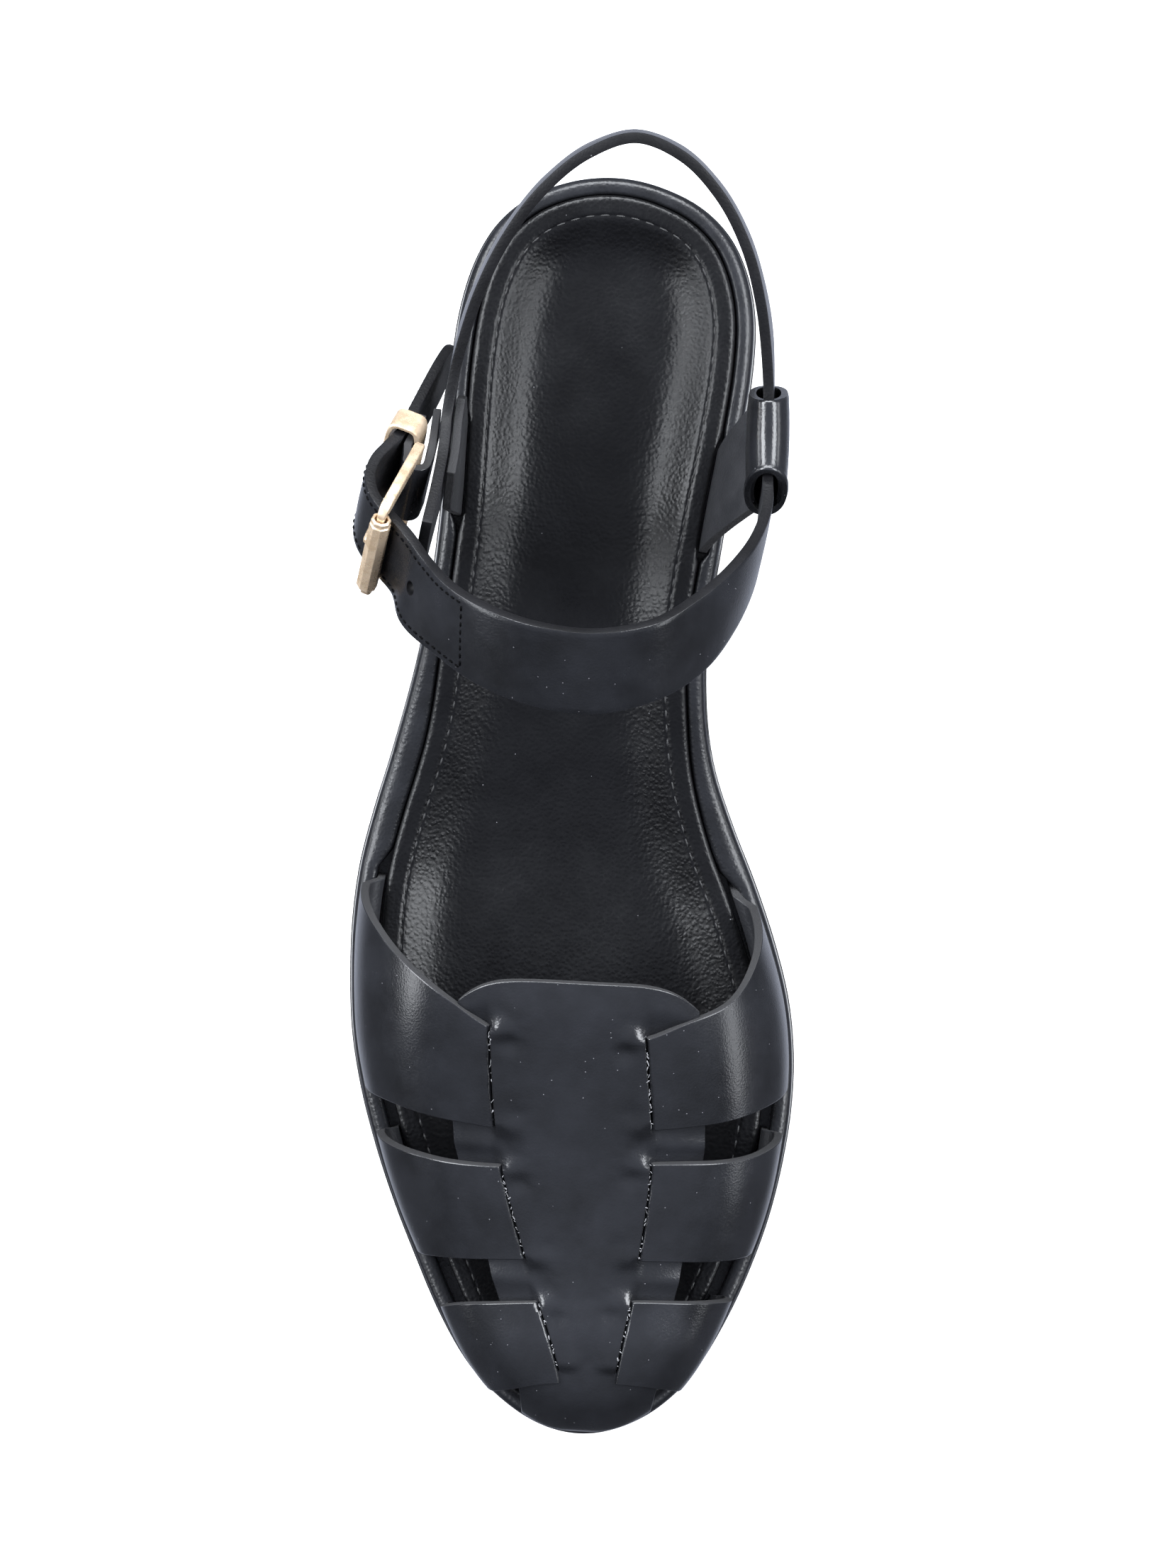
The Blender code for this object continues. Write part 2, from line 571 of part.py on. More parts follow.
def buckle_point(along, across, out):
    """A point of the buckle's axes in the last's measures."""
    a, b, o = buckle_axes()
    return BUCKLE_AT + a * along + b * across + o * out


def face_normal(tangent, tilt):
    """The outward face of a band that runs along a tangent, tilted upwards by some degrees."""
    level = Vector((0, 0, 1)).cross(tangent).normalized()
    up = level.cross(tangent).normalized()
    if up.z < 0:
        up = -up
    angle = math.radians(tilt)
    return level * math.cos(angle) + up * math.sin(angle)


def strap_path(steps):
    """Even rows along the ankle strap: centre, outward normal, direction down across it, width."""
    outward = buckle_axes()[2]
    rows = [(Vector(row[:3]), row[3], row[4]) for row in ANKLE_STRAP]
    rows += [(buckle_point(along, 0.0, out), width, None) for along, out, width in BUCKLE_RUN]
    centres = np.array([tuple(row[0]) for row in rows])
    lengths = np.concatenate([[0.0], np.cumsum(np.linalg.norm(np.diff(centres, axis=0), axis=1))])
    normals = []
    for (_, _, tilt), tangent in zip(rows, np.gradient(centres, lengths, axis=0)):
        tangent = Vector(tangent).normalized()
        if tilt is None:
            side = tangent.cross(buckle_axes()[1])
            normals.append(tuple(side if side.dot(outward) > 0 else -side))
        else:
            normals.append(tuple(face_normal(tangent, tilt)))
    table = np.column_stack([lengths, centres, np.array(normals), [row[1] for row in rows]])
    path = []
    for length in np.linspace(0.0, lengths[-1], steps + 1):
        row = read_table(table, length)
        ahead = read_table(table, min(length + 0.5, lengths[-1]))[:3]
        behind = read_table(table, max(length - 0.5, 0.0))[:3]
        tangent = Vector(ahead - behind).normalized()
        normal = Vector(row[3:6])
        normal = (normal - tangent * normal.dot(tangent)).normalized()
        path.append((Vector(row[:3]), normal, normal.cross(tangent), row[6]))
    return path


def strap_row(path, s, medial):
    """The strap's row nearest to s, on the medial side or on the tongue's stretch of the lateral."""
    half = len(path) // 2
    rows = path[half // 2:half + half // 3] if medial else path[:half // 2]
    rows = [row for row in rows if (row[0].y > 0) == medial]
    return min(rows, key=lambda row: abs(row[0].x - s))


def build_ankle_strap(path, finish):
    steps = len(path) - 1

    def place(u, w):
        centre, _, down, width = path[round(w * steps)]
        return world(*(centre + down * width * (u - 0.5)))

    middle = path[steps // 2]
    facing = world(*middle[1]) - world(0, 0, 0)
    strap = sheet("ankle_strap", 2, steps, place, BAND, finish, offset=0.0, outward=facing)
    bm = bmesh.new()
    bmesh.ops.create_cone(bm, cap_ends=True, segments=12, radius1=PRONG_HOLE * MM,
                          radius2=PRONG_HOLE * MM, depth=6.5 * MM)
    start, end = buckle_point(0.0, 0.0, 0.0), buckle_point(1.0, 0.0, 0.0)
    turn = (world(*end) - world(*start)).to_track_quat("Z", "Y").to_matrix()
    bmesh.ops.rotate(bm, verts=bm.verts, matrix=turn)
    bmesh.ops.translate(bm, verts=bm.verts, vec=world(*buckle_point(*HOLE_AT)))
    combine(strap, make_object("prong_hole", bm, finish), "DIFFERENCE")


def loop_band(name, frames, half_depth, half_height, power, wall, finish, around=20):
    """A band round an opening: a rounded loop carried along frames of centre, normal and down."""
    bm = bmesh.new()
    along = len(frames) - 1
    bmesh.ops.create_grid(bm, x_segments=around, y_segments=along, size=0.5)
    for v in bm.verts:
        centre, normal, down = frames[round((v.co.y + 0.5) * along)][:3]
        angle = (v.co.x + 0.5) * 2.0 * math.pi
        depth = math.copysign(abs(math.cos(angle)) ** (2.0 / power), math.cos(angle)) * half_depth
        height = math.copysign(abs(math.sin(angle)) ** (2.0 / power), math.sin(angle)) * half_height
        v.co = world(*(centre + normal * depth + down * height))
    bmesh.ops.remove_doubles(bm, verts=bm.verts, dist=0.01 * MM)
    bm.normal_update()
    bm.faces.ensure_lookup_table()
    face = bm.faces[0]
    centre = world(*frames[0][0])
    if face.normal.dot(face.calc_center_median() - centre) < 0:
        bmesh.ops.reverse_faces(bm, faces=bm.faces)
    made = make_object(name, bm, finish)
    skin = made.modifiers.new("wall", "SOLIDIFY")
    skin.thickness = wall * MM
    skin.offset = 1.0
    return made


def build_medial_tab(path, finish):
    """A panel up from the channel, folded into a loop that the ankle strap runs through."""
    count = 7
    frames = [strap_row(path, s, True) for s in np.linspace(*SLEEVE, count)]
    sleeve = loop_band("medial_tab", frames, *SLEEVE_HALF, 3.0, SLEEVE_WALL, finish)

    def place(u, w):
        foot = MEDIAL_TAB[0] + (MEDIAL_TAB[1] - MEDIAL_TAB[0]) * u
        bottom = Vector((foot, edge(foot, 1, TAB_CHANNEL), plate_top(foot) + GAP))
        lip = Vector((foot, bottom.y, plate_top(foot) + FOOTBED_EDGE + GAP))
        centre, _, down, _ = strap_row(path, SLEEVE[0] + (SLEEVE[1] - SLEEVE[0]) * (0.04 + 0.92 * u), True)
        top = centre + down * (SLEEVE_HALF[1] + SLEEVE_WALL * 0.45)
        if w < 0.2:
            return world(*(bottom + (lip - bottom) * (w / 0.2)))
        rise = (w - 0.2) / 0.8
        point = lip + (top - lip) * rise
        point.y = lip.y + (top.y - lip.y) * rise ** 1.25
        return world(*point)

    panel = sheet("medial_panel", 5, 10, place, STRAP, finish, offset=0.0, outward=Vector((1, 0, 0)))
    combine(sleeve, panel, "UNION")


def build_lateral_tab(path, finish):
    """A panel up from the channel, sewn to the inner face of the slingback."""
    def place(u, w):
        foot = LATERAL_TAB[0] + (LATERAL_TAB[1] - LATERAL_TAB[0]) * u
        bottom = Vector((foot, edge(foot, -1, TAB_CHANNEL), plate_top(foot) + GAP))
        lip = Vector((foot, bottom.y, plate_top(foot) + FOOTBED_EDGE + GAP))
        at = LATERAL_TOP[0] + (LATERAL_TOP[1] - LATERAL_TOP[0]) * u
        centre, normal, down, width = strap_row(path, at, False)
        inner = centre - normal * (BAND / 2 + GAP + STRAP / 2)
        low = inner + down * width * 0.5
        high = inner - down * width * 0.36
        if w < 0.2:
            return world(*(bottom + (lip - bottom) * (w / 0.2)))
        if w < 0.7:
            return world(*(lip + (low - lip) * ((w - 0.2) / 0.5)))
        return world(*(low + (high - low) * ((w - 0.7) / 0.3)))

    sheet("lateral_tab", 5, 10, place, STRAP, finish, offset=0.0, outward=Vector((-1, 0, 0)))


def bar(name, points, radii, finish, closed=False, around=8):
    """A round bar along points in the last's measures, as a ring of points at each of them."""
    centres = [world(*point) for point in points]
    count = len(centres)
    turns = [2.0 * math.pi * k / around for k in range(around)]
    bm = bmesh.new()
    rings = []
    normal = None
    for i, centre in enumerate(centres):
        ahead = centres[(i + 1) % count] if closed or i < count - 1 else centre
        behind = centres[i - 1] if closed or i > 0 else centre
        tangent = (ahead - behind).normalized()
        normal = normal or tangent.orthogonal()
        normal = (normal - tangent * normal.dot(tangent)).normalized()
        side = tangent.cross(normal)
        rings.append([bm.verts.new(centre + (normal * math.cos(turn) + side * math.sin(turn))
                                   * radii[i] * MM) for turn in turns])
    for i in range(count if closed else count - 1):
        low, high = rings[i], rings[(i + 1) % count]
        for k in range(around):
            j = (k + 1) % around
            bm.faces.new((low[k], low[j], high[j], high[k]))
    if not closed:
        bm.faces.new(rings[0][::-1])
        bm.faces.new(rings[-1])
    bmesh.ops.recalc_face_normals(bm, faces=bm.faces)
    return make_object(name, bm, finish)


def build_buckle(path, gold, leather):
    half = BUCKLE_WIDE / 2
    corners = [(0.0, -half), (BUCKLE_LONG, -half), (BUCKLE_LONG, half), (0.0, half)]
    points, radii = [], []
    for number, (a, b) in enumerate(corners):
        into = BUCKLE_CORNER * (1 if a == 0 else -1), BUCKLE_CORNER * (1 if b < 0 else -1)
        first = math.pi + number * math.pi / 2
        for step in range(4):
            angle = first + step * math.pi / 6
            points.append(buckle_point(a + into[0] + BUCKLE_CORNER * math.cos(angle),
                                       b + into[1] + BUCKLE_CORNER * math.sin(angle), 0.0))
            on_rail = step if number % 2 == 0 else 3 - step
            radii.append(BAR + (RAIL - BAR) * on_rail / 3.0)
    bar("buckle_frame", points, radii, gold, closed=True)

    a, b, o = buckle_axes()
    reach = half - BUCKLE_CORNER - GAP
    ends = [(buckle_point(BUCKLE_LONG, side * reach, 0.0), o, a) for side in (-1, 1)]
    loop_band("buckle_roller", ends, ROLLER[0], ROLLER[0], 2.0, ROLLER[1], gold, around=14)

    hook = BAR + GAP + PRONG
    prong = [buckle_point(-hook * math.sin(angle), 0.0, -hook * math.cos(angle))
             for angle in np.linspace(-0.6, math.pi, 8)]
    rest = sum(ROLLER) + GAP + PRONG
    prong += [buckle_point(along, 0.0, out) for along, out in (
        (5.0, 2.4), (12.0, 2.6), (BUCKLE_LONG - rest * 0.62, rest * 0.82))]
    bar("buckle_prong", prong, [PRONG] * len(prong), gold)

    keeper = [(buckle_point(KEEPER_AT + side * KEEPER[0] / 2, 0.0, KEEPER_OUT), o, b)
              for side in (-1, 1)]
    loop_band("strap_keeper", keeper, *KEEPER[1:3], 5.0, KEEPER[3], gold, around=28)
    build_chape(path, leather)


def build_chape(path, finish):
    """The chape: doubled leather round the rear bar, slotted for the prong."""
    fold = [(CHAPE_FOLD * math.sin(angle), -CHAPE_FOLD * math.cos(angle))
            for angle in np.linspace(0.0, math.pi, 7)]
    line = CHAPE_INNER + fold + CHAPE_OUTER
    count = len(line) - 1

    def place(u, w):
        along, out = line[round(w * count)]
        point = buckle_point(along, CHAPE_WIDE * (u - 0.5), out)
        seat = strap_row(path, point.x, False)[0].y - (BAND + CHAPE) / 2 - GAP
        point.y = min(point.y, seat)
        return world(*point)

    facing = world(*buckle_axes()[0]) - world(0, 0, 0)
    chape = sheet("buckle_chape", 2, count, place, CHAPE, finish, offset=0.0, outward=facing)
    bm = bmesh.new()
    bmesh.ops.create_cube(bm, size=1.0)
    wide = PRONG + 2 * GAP
    for v in bm.verts:
        along = 4.0 if v.co.x > 0 else -3.6
        out = 4.6 if v.co.z > 0 else -4.4
        v.co = world(*buckle_point(along, wide * 2 * v.co.y, out))
    bmesh.ops.recalc_face_normals(bm, faces=bm.faces)
    combine(chape, make_object("prong_slot", bm, finish), "DIFFERENCE")


def main():
    clear_scene()
    leather = material("upper_leather", (0.012, 0.013, 0.016), 0.28)
    gold = material("buckle_metal", (0.82, 0.66, 0.45), 0.2, 1.0)
    sole_finishes = {
        "outsole": material("outsole_gloss", (0.006, 0.006, 0.007), 0.12),
        "heel": material("heel_block", (0.008, 0.008, 0.009), 0.3),
        "pad": material("tread_rubber", (0.03, 0.031, 0.035), 0.6),
        "rim": material("rim_leather", (0.012, 0.012, 0.014), 0.4),
        "footbed": material("footbed_leather", (0.011, 0.011, 0.013), 0.35)}
    build_sole(sole_finishes)
    build_vamp(leather)
    path = strap_path(STRAP_STEPS)
    fine_path = strap_path(STRAP_STEPS * 4)
    build_ankle_strap(path, leather)
    build_medial_tab(fine_path, leather)
    build_lateral_tab(fine_path, leather)
    build_buckle(fine_path, gold, leather)


main()
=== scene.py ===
"""Fisherman sandal, right shoe: the looks of each piece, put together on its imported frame.

Tables are in millimetres in the last's own measures: s runs from the heel end towards the toe, m runs
across towards the medial side, and z is the height above the floor.
"""
import bisect
import math
import random

import bmesh
import bpy
import numpy as np
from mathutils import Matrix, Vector

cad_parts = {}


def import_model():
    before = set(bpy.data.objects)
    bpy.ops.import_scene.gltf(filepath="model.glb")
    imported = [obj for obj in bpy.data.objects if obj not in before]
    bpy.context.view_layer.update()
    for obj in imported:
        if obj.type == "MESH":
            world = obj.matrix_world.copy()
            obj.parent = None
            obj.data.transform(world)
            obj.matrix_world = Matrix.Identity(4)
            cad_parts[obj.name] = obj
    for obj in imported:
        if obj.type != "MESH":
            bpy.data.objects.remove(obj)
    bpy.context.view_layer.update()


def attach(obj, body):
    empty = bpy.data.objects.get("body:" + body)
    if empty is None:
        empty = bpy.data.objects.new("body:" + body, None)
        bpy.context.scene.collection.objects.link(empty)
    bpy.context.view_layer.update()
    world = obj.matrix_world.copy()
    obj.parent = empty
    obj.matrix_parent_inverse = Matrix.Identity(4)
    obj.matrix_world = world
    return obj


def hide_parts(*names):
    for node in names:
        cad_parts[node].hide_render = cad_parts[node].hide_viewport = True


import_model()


# ---- Outsole ----
# A thin moulded sole of glossy black rubber, arched between heel and ball and sprung at the toe.
# It is cemented under the midsole and has a shallow moulded pocket for the forefoot pad.

MM = 0.001
UP = Vector((0, 0, 1))
MIDDLE = 130.6             # s of the origin
GAP = 0.3                  # clearance between pieces that touch
LENGTH = 262.0
HEEL_SEAT = 16.0           # floor to the underside of the outsole at the heel
HEEL_BREAST = 62.0
TREAD = (152.0, 214.0)     # the stretch of the outsole that lies on the floor
TOE_SPRING = 7.0
OUTSOLE = 4.0              # thickness
PAD_RECESS = 1.0
PAD_POINTS = 180           # corners of a ring round the pad
SOLE_POINTS = 360          # corners of a ring round the sole
CREASE = 38.0              # degrees: a bend sharper than this keeps its edge
OUTLINE = [                # s, lateral edge, medial edge
    (0.0, 0.0, 0.0), (1.5, -9.9, 9.7), (5.0, -17.6, 17.8), (11.0, -24.1, 24.5), (17.0, -27.5, 27.9),
    (28.0, -30.7, 30.7), (40.0, -32.0, 30.7), (52.0, -32.4, 29.4), (75.0, -33.0, 26.3),
    (98.5, -35.6, 24.4), (122.0, -40.8, 27.7), (133.5, -43.8, 32.2), (145.0, -46.2, 37.4),
    (157.0, -47.2, 42.1), (169.0, -47.0, 45.7), (180.5, -46.0, 47.4), (192.0, -43.6, 47.5),
    (204.0, -39.9, 46.2), (215.5, -35.5, 43.9), (227.0, -30.3, 40.3), (239.0, -24.3, 35.2),
    (251.0, -15.9, 27.8), (256.5, -9.4, 21.9), (260.5, -2.0, 14.4), (LENGTH, 6.2, 6.2)]
PAD_OUTLINE = [            # s, lateral edge, medial edge
    (131.0, -10.0, -10.0), (134.0, -24.0, 6.0), (142.0, -33.5, 19.0), (155.0, -38.5, 30.0),
    (170.0, -38.8, 36.7), (185.0, -36.5, 38.8), (200.0, -32.6, 38.4), (215.0, -27.0, 35.6),
    (230.0, -19.6, 30.6), (243.0, -10.6, 23.0), (250.0, -3.6, 16.6), (254.0, 6.5, 6.5)]


def world(s, m, z):
    """A point of the last's measures in the world, in metres."""
    return Vector((m * MM, (MIDDLE - s) * MM, z * MM))


def smooth(value, start, end):
    """0 before start, 1 after end, and an even S between."""
    t = min(max((value - start) / (end - start), 0.0), 1.0)
    return t * t * (3.0 - 2.0 * t)


def between(stretch, share):
    """A share of the way along a stretch."""
    return stretch[0] + (stretch[1] - stretch[0]) * share


def round_end(x, start, end):
    """The angle whose cosine places x between two round ends, so that a table rounds them."""
    return math.acos(min(max(1.0 - 2.0 * (x - start) / (end - start), -1.0), 1.0))


def table_curve(rows, scale=None):
    """One smooth curve through a table, read at any place in its first column."""
    start, end = rows[0][0], rows[-1][0]
    x = [scale(row[0], start, end) if scale else row[0] for row in rows]
    columns = np.array([row[1:] for row in rows], float)
    slopes = np.gradient(columns, x, axis=0)

    def read(at):
        """The row at a place, held at the table's ends."""
        at = scale(at, start, end) if scale else at
        at = min(max(at, x[0]), x[-1])
        k = min(max(bisect.bisect(x, at) - 1, 0), len(x) - 2)
        h = x[k + 1] - x[k]
        t = (at - x[k]) / h
        return ((2 * t**3 - 3 * t**2 + 1) * columns[k] + (t**3 - 2 * t**2 + t) * h * slopes[k]
                + (3 * t**2 - 2 * t**3) * columns[k + 1] + (t**3 - t**2) * h * slopes[k + 1])

    return read


outline = table_curve(OUTLINE, round_end)


def edge(s, side, inset=0.0):
    """m of the outline at s, moved inwards square to it; side is -1 lateral, 1 medial."""
    column = 0 if side < 0 else 1
    ahead = outline(min(s + 0.5, LENGTH))[column]
    behind = outline(max(s - 0.5, 0.0))[column]
    return outline(s)[column] - side * inset * math.sqrt(1.0 + min(abs(ahead - behind), 2.5) ** 2)


def shank(s):
    """Underside of the outsole: heel seat, waist, flat tread and toe spring."""
    waist = HEEL_SEAT * (1.0 - smooth(s, HEEL_BREAST, TREAD[0]))
    return waist + TOE_SPRING * (max(s - TREAD[1], 0.0) / (LENGTH - TREAD[1])) ** 2


def above(base, height):
    """A height line that runs some way above another."""
    return lambda s: base(s) + height


def ground(_):
    """The height line of the floor."""
    return 0.0


def plan_loop(rows, points):
    """Plan points round an outline, from its heel end up the medial side and down the lateral."""
    read, start, end = table_curve(rows, round_end), rows[0][0], rows[-1][0]
    loop = []
    for i in range(points):
        angle = 2.0 * math.pi * i / points
        s = start + (end - start) * (1.0 - math.cos(angle)) / 2.0
        loop.append(Vector((s, read(s)[1 if angle <= math.pi else 0])))
    return loop


def plan_ring(loop, inset, height, share=0.0):
    """A ring moved inwards from a plan loop, then drawn a share of the way to the middle line."""
    count = len(loop)
    ring = []
    for i, point in enumerate(loop):
        along = (loop[(i + 1) % count] - loop[i - 1]).normalized()
        side = 1 if 0 < i < count / 2 else -1
        depth = inset(point.x, side) if callable(inset) else inset
        ring.append(point + Vector((along.y, -along.x)) * depth)
    if share:
        ring = [point.lerp((point + ring[-i % count]) / 2, share) for i, point in enumerate(ring)]
    return [world(point.x, point.y, height(point.x)) for point in ring]


def rise(loop, base, profile):
    """Rings that follow a profile of insets and heights above a base."""
    return [plan_ring(loop, inset, above(base, up)) for inset, up in profile]


def close_in(loop, inset, height, shares):
    """Rings that are drawn towards the middle line by a share each, to close a face."""
    return [plan_ring(loop, inset, height, share) for share in shares]


def make_object(name, bm, finishes, crease=CREASE):
    """A named piece from a bmesh, shaded smooth with its sharp edges kept."""
    mesh = bpy.data.meshes.new(name)
    bm.to_mesh(mesh)
    bm.free()
    mesh.shade_smooth()
    mesh.set_sharp_from_angle(angle=math.radians(crease))
    for finish in finishes:
        mesh.materials.append(finish)
    made = bpy.data.objects.new(name, mesh)
    bpy.context.collection.objects.link(made)
    return made


def grow(bm, rings):
    """Rings of points joined one to the next: a circle that is extruded from ring to ring."""
    place = bm.verts.layers.int.get("place") or bm.verts.layers.int.new("place")
    first = bmesh.ops.create_circle(bm, segments=len(rings[0]), radius=1.0)["verts"]
    for number, v in enumerate(first):
        v[place] = number
        v.co = rings[0][number]
    edges = list({line for v in first for line in v.link_edges})
    for ring in rings[1:]:
        grown = bmesh.ops.extrude_edge_only(bm, edges=edges)["geom"]
        fresh = {item for item in grown if isinstance(item, bmesh.types.BMVert)}
        edges = [item for item in grown if isinstance(item, bmesh.types.BMEdge)
                 and item.verts[0] in fresh and item.verts[1] in fresh]
        for v in fresh:
            v.co = ring[v[place]]


def stack(name, rings, finishes, capped=False, crease=CREASE):
    """A piece from stacked rings, closed where its rings meet or by flat caps."""
    bm = bmesh.new()
    grow(bm, rings)
    bmesh.ops.remove_doubles(bm, verts=bm.verts, dist=0.002 * MM)
    bmesh.ops.dissolve_degenerate(bm, edges=bm.edges, dist=0.001 * MM)
    if capped:
        bmesh.ops.holes_fill(bm, edges=[line for line in bm.edges if line.is_boundary])
    bmesh.ops.recalc_face_normals(bm, faces=bm.faces)
    return make_object(name, bm, finishes, crease)


def soften(made, width, angle):
    """Round off the edges of a piece that are sharper than an angle."""
    rounding = made.modifiers.new("softened_edges", "BEVEL")
    rounding.width = width * MM
    rounding.segments = 2
    rounding.limit_method = "ANGLE"
    rounding.angle_limit = math.radians(angle)


def cut(made, tool):
    """Cut one piece out of another for good."""
    trim = made.modifiers.new("cut", "BOOLEAN")
    trim.object = tool
    trim.solver = "EXACT"
    shape = made.evaluated_get(bpy.context.evaluated_depsgraph_get())
    mesh = bpy.data.meshes.new_from_object(shape)
    made.modifiers.clear()
    made.data = mesh
    mesh.set_sharp_from_angle(angle=math.radians(CREASE))
    bpy.data.objects.remove(tool, do_unlink=True)


def fit(piece, slot, *nodes):
    """A finished piece rides with the shoe and stands for its solids, which are hidden; its slot is not
    used.
    """
    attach(piece, "root")
    if nodes:
        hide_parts(*nodes)


def effect(name, inputs, outputs):
    """A shared shader effect: a node group with its sockets, an inlet and an outlet."""
    group = bpy.data.node_groups.new(name, "ShaderNodeTree")
    for socket, value in inputs:
        made = group.interface.new_socket(socket, in_out="INPUT", socket_type="NodeSocketFloat")
        made.default_value = value
    for socket in outputs:
        group.interface.new_socket(socket, in_out="OUTPUT", socket_type="NodeSocketFloat")
    return group, group.nodes.new("NodeGroupInput"), group.nodes.new("NodeGroupOutput")


def add_node(tree, kind, settings=(), values=(), links=()):
    """A shader node with its settings, its fixed inputs and the outputs that feed it."""
    node = tree.nodes.new("ShaderNode" + kind)
    for name, value in settings:
        setattr(node, name, value)
    for name, value in values:
        node.inputs[name].default_value = value
    for name, source in links:
        tree.links.new(source, node.inputs[name])
    return node


def calc(tree, operation, *values):
    """One step of arithmetic on numbers and outputs."""
    node = add_node(tree, "Math", [("operation", operation)])
    for place, value in enumerate(values):
        if isinstance(value, bpy.types.NodeSocket):
            tree.links.new(value, node.inputs[place])
        else:
            node.inputs[place].default_value = value
    return node.outputs[0]


def new_finish(name, colour, roughness, metallic=0.0):
    """A Principled material, returned with its node tree and its shader."""
    made = bpy.data.materials.new(name)
    made.use_nodes = True
    shader = made.node_tree.nodes["Principled BSDF"]
    shader.inputs["Base Color"].default_value = (*colour, 1.0)
    shader.inputs["Roughness"].default_value = roughness
    shader.inputs["Metallic"].default_value = metallic
    return made, made.node_tree, shader


def tinted(tree, mask, low, high):
    """A colour that runs from one tone to another with a mask."""
    mix = add_node(tree, "Mix", [("data_type", "RGBA")], links=[("Factor", mask)])
    mix.inputs["A"].default_value = (*low, 1.0)
    mix.inputs["B"].default_value = (*high, 1.0)
    return mix.outputs["Result"]


def paint(tree, shader, mask, low, high):
    """The shader's colour, from one tone to another with a mask."""
    tree.links.new(tinted(tree, mask, low, high), shader.inputs["Base Color"])


def ranged(tree, value, low, high, start=0.0, end=1.0):
    """A value carried from one range to another, held at its ends."""
    node = add_node(tree, "MapRange", values=[("From Min", start), ("From Max", end), ("To Min", low),
                                              ("To Max", high)], links=[("Value", value)])
    return node.outputs["Result"]


def roughen(tree, shader, mask, low, high, end=1.0):
    """The shader's roughness, from one value to another with a mask."""
    tree.links.new(ranged(tree, mask, low, high, 0.0, end), shader.inputs["Roughness"])


def embossed(tree, shader, height, depth, below=None):
    """Relief of a real depth in millimetres on the shader's normal."""
    relief = add_node(tree, "Bump", values=[("Strength", 1.0), ("Distance", depth * MM)],
                      links=[("Height", height)])
    if below:
        tree.links.new(below, relief.inputs["Normal"])
    tree.links.new(relief.outputs["Normal"], shader.inputs["Normal"])
    return relief.outputs["Normal"]


def noise(tree, at, size, detail=3.0, rough=0.5, output="Fac"):
    """Soft noise with features of about a given size in millimetres."""
    made = add_node(tree, "TexNoise", values=[("Scale", 1.0 / (size * MM)), ("Detail", detail),
                                              ("Roughness", rough)], links=[("Vector", at)])
    return made.outputs[output]


def shoe_place(tree):
    """The place on the shoe that a texture reads."""
    return add_node(tree, "TexCoord").outputs["Object"]


smudges, inlet, outlet = effect("handling_smudges", [("Size", 12.0)], ["Mask"])
broad = add_node(smudges, "TexNoise", values=[("Detail", 4.0), ("Roughness", 0.65)],
                 links=[("Vector", shoe_place(smudges)),
                        ("Scale", calc(smudges, "DIVIDE", 1.0 / MM, inlet.outputs["Size"]))])
smudges.links.new(ranged(smudges, broad.outputs["Fac"], 0.0, 1.0, 0.35, 0.68), outlet.inputs["Mask"])


def smudged(name, size, tones, gloss, metallic=0.0):
    """A finish whose tone and gloss change where it was handled."""
    made, tree, shader = new_finish(name, tones[0], gloss[0], metallic)
    smudge = add_node(tree, "Group", [("node_tree", smudges)], [("Size", size)])
    paint(tree, shader, smudge.outputs["Mask"], *tones)
    roughen(tree, shader, smudge.outputs["Mask"], *gloss)
    return made, tree, shader


BLACKS = (0.007, 0.007, 0.008), (0.012, 0.012, 0.013)    # moulded black rubber
outsole_gloss, tree, shader = smudged("outsole_gloss", 14.0, BLACKS, (0.1, 0.24))
embossed(tree, shader, noise(tree, shoe_place(tree), 9.0, 2.0), 0.12)

sole_loop = plan_loop(OUTLINE, SOLE_POINTS)
top_of_outsole = above(shank, OUTSOLE)
rings = close_in(sole_loop, 0.9, shank, (1.0, 0.66, 0.33))
rings += rise(sole_loop, shank, (
    (0.9, 0.0), (0.5, 0.06), (0.22, 0.22), (0.05, 0.5), (0.0, 0.9), (0.0, 3.4), (0.08, 3.75), (0.3, 3.94)))
rings += close_in(sole_loop, 0.6, top_of_outsole, (0.0, 0.5, 1.0))
outsole = stack("glossy_outsole", rings, [outsole_gloss])
pad_loop = plan_loop(PAD_OUTLINE, PAD_POINTS)
rings = close_in(pad_loop, -GAP, above(ground, -OUTSOLE), (1.0, 0.0))
rings += close_in(pad_loop, -GAP, above(shank, PAD_RECESS + GAP), (0.0, 0.5, 1.0))
cut(outsole, stack("pad_pocket", rings, []))
fit(outsole, "outsole_gloss", "outsole")


# ---- Forefoot pad ----
# An egg-shaped inlay of matte rubber for grip, pressed and glued into the outsole's pocket.

tread_rubber, tree, shader = new_finish("tread_rubber", (0.03, 0.031, 0.035), 0.7)
at = shoe_place(tree)
speckle = noise(tree, at, 0.5, 4.0, 0.7)
paint(tree, shader, speckle, (0.016, 0.016, 0.018), (0.03, 0.03, 0.033))
roughen(tree, shader, noise(tree, at, 20.0), 0.55, 0.8)
embossed(tree, shader, speckle, 0.08)

rings = close_in(pad_loop, 0.7, shank, (1.0, 0.5, 0.0))
rings += rise(pad_loop, shank, ((0.4, 0.03), (0.12, 0.15), (0.0, 0.4), (0.0, PAD_RECESS)))
rings += close_in(pad_loop, 0.0, above(shank, PAD_RECESS), (0.5, 1.0))
fit(stack("forefoot_inlay", rings, [tread_rubber]), "tread_rubber", "forefoot_pad")


# ---- Heel ----
# A low moulded heel block with a curved breast, nailed and glued under the heel seat, and its
# top-lift of tread rubber, moulded with fine raised diamonds.

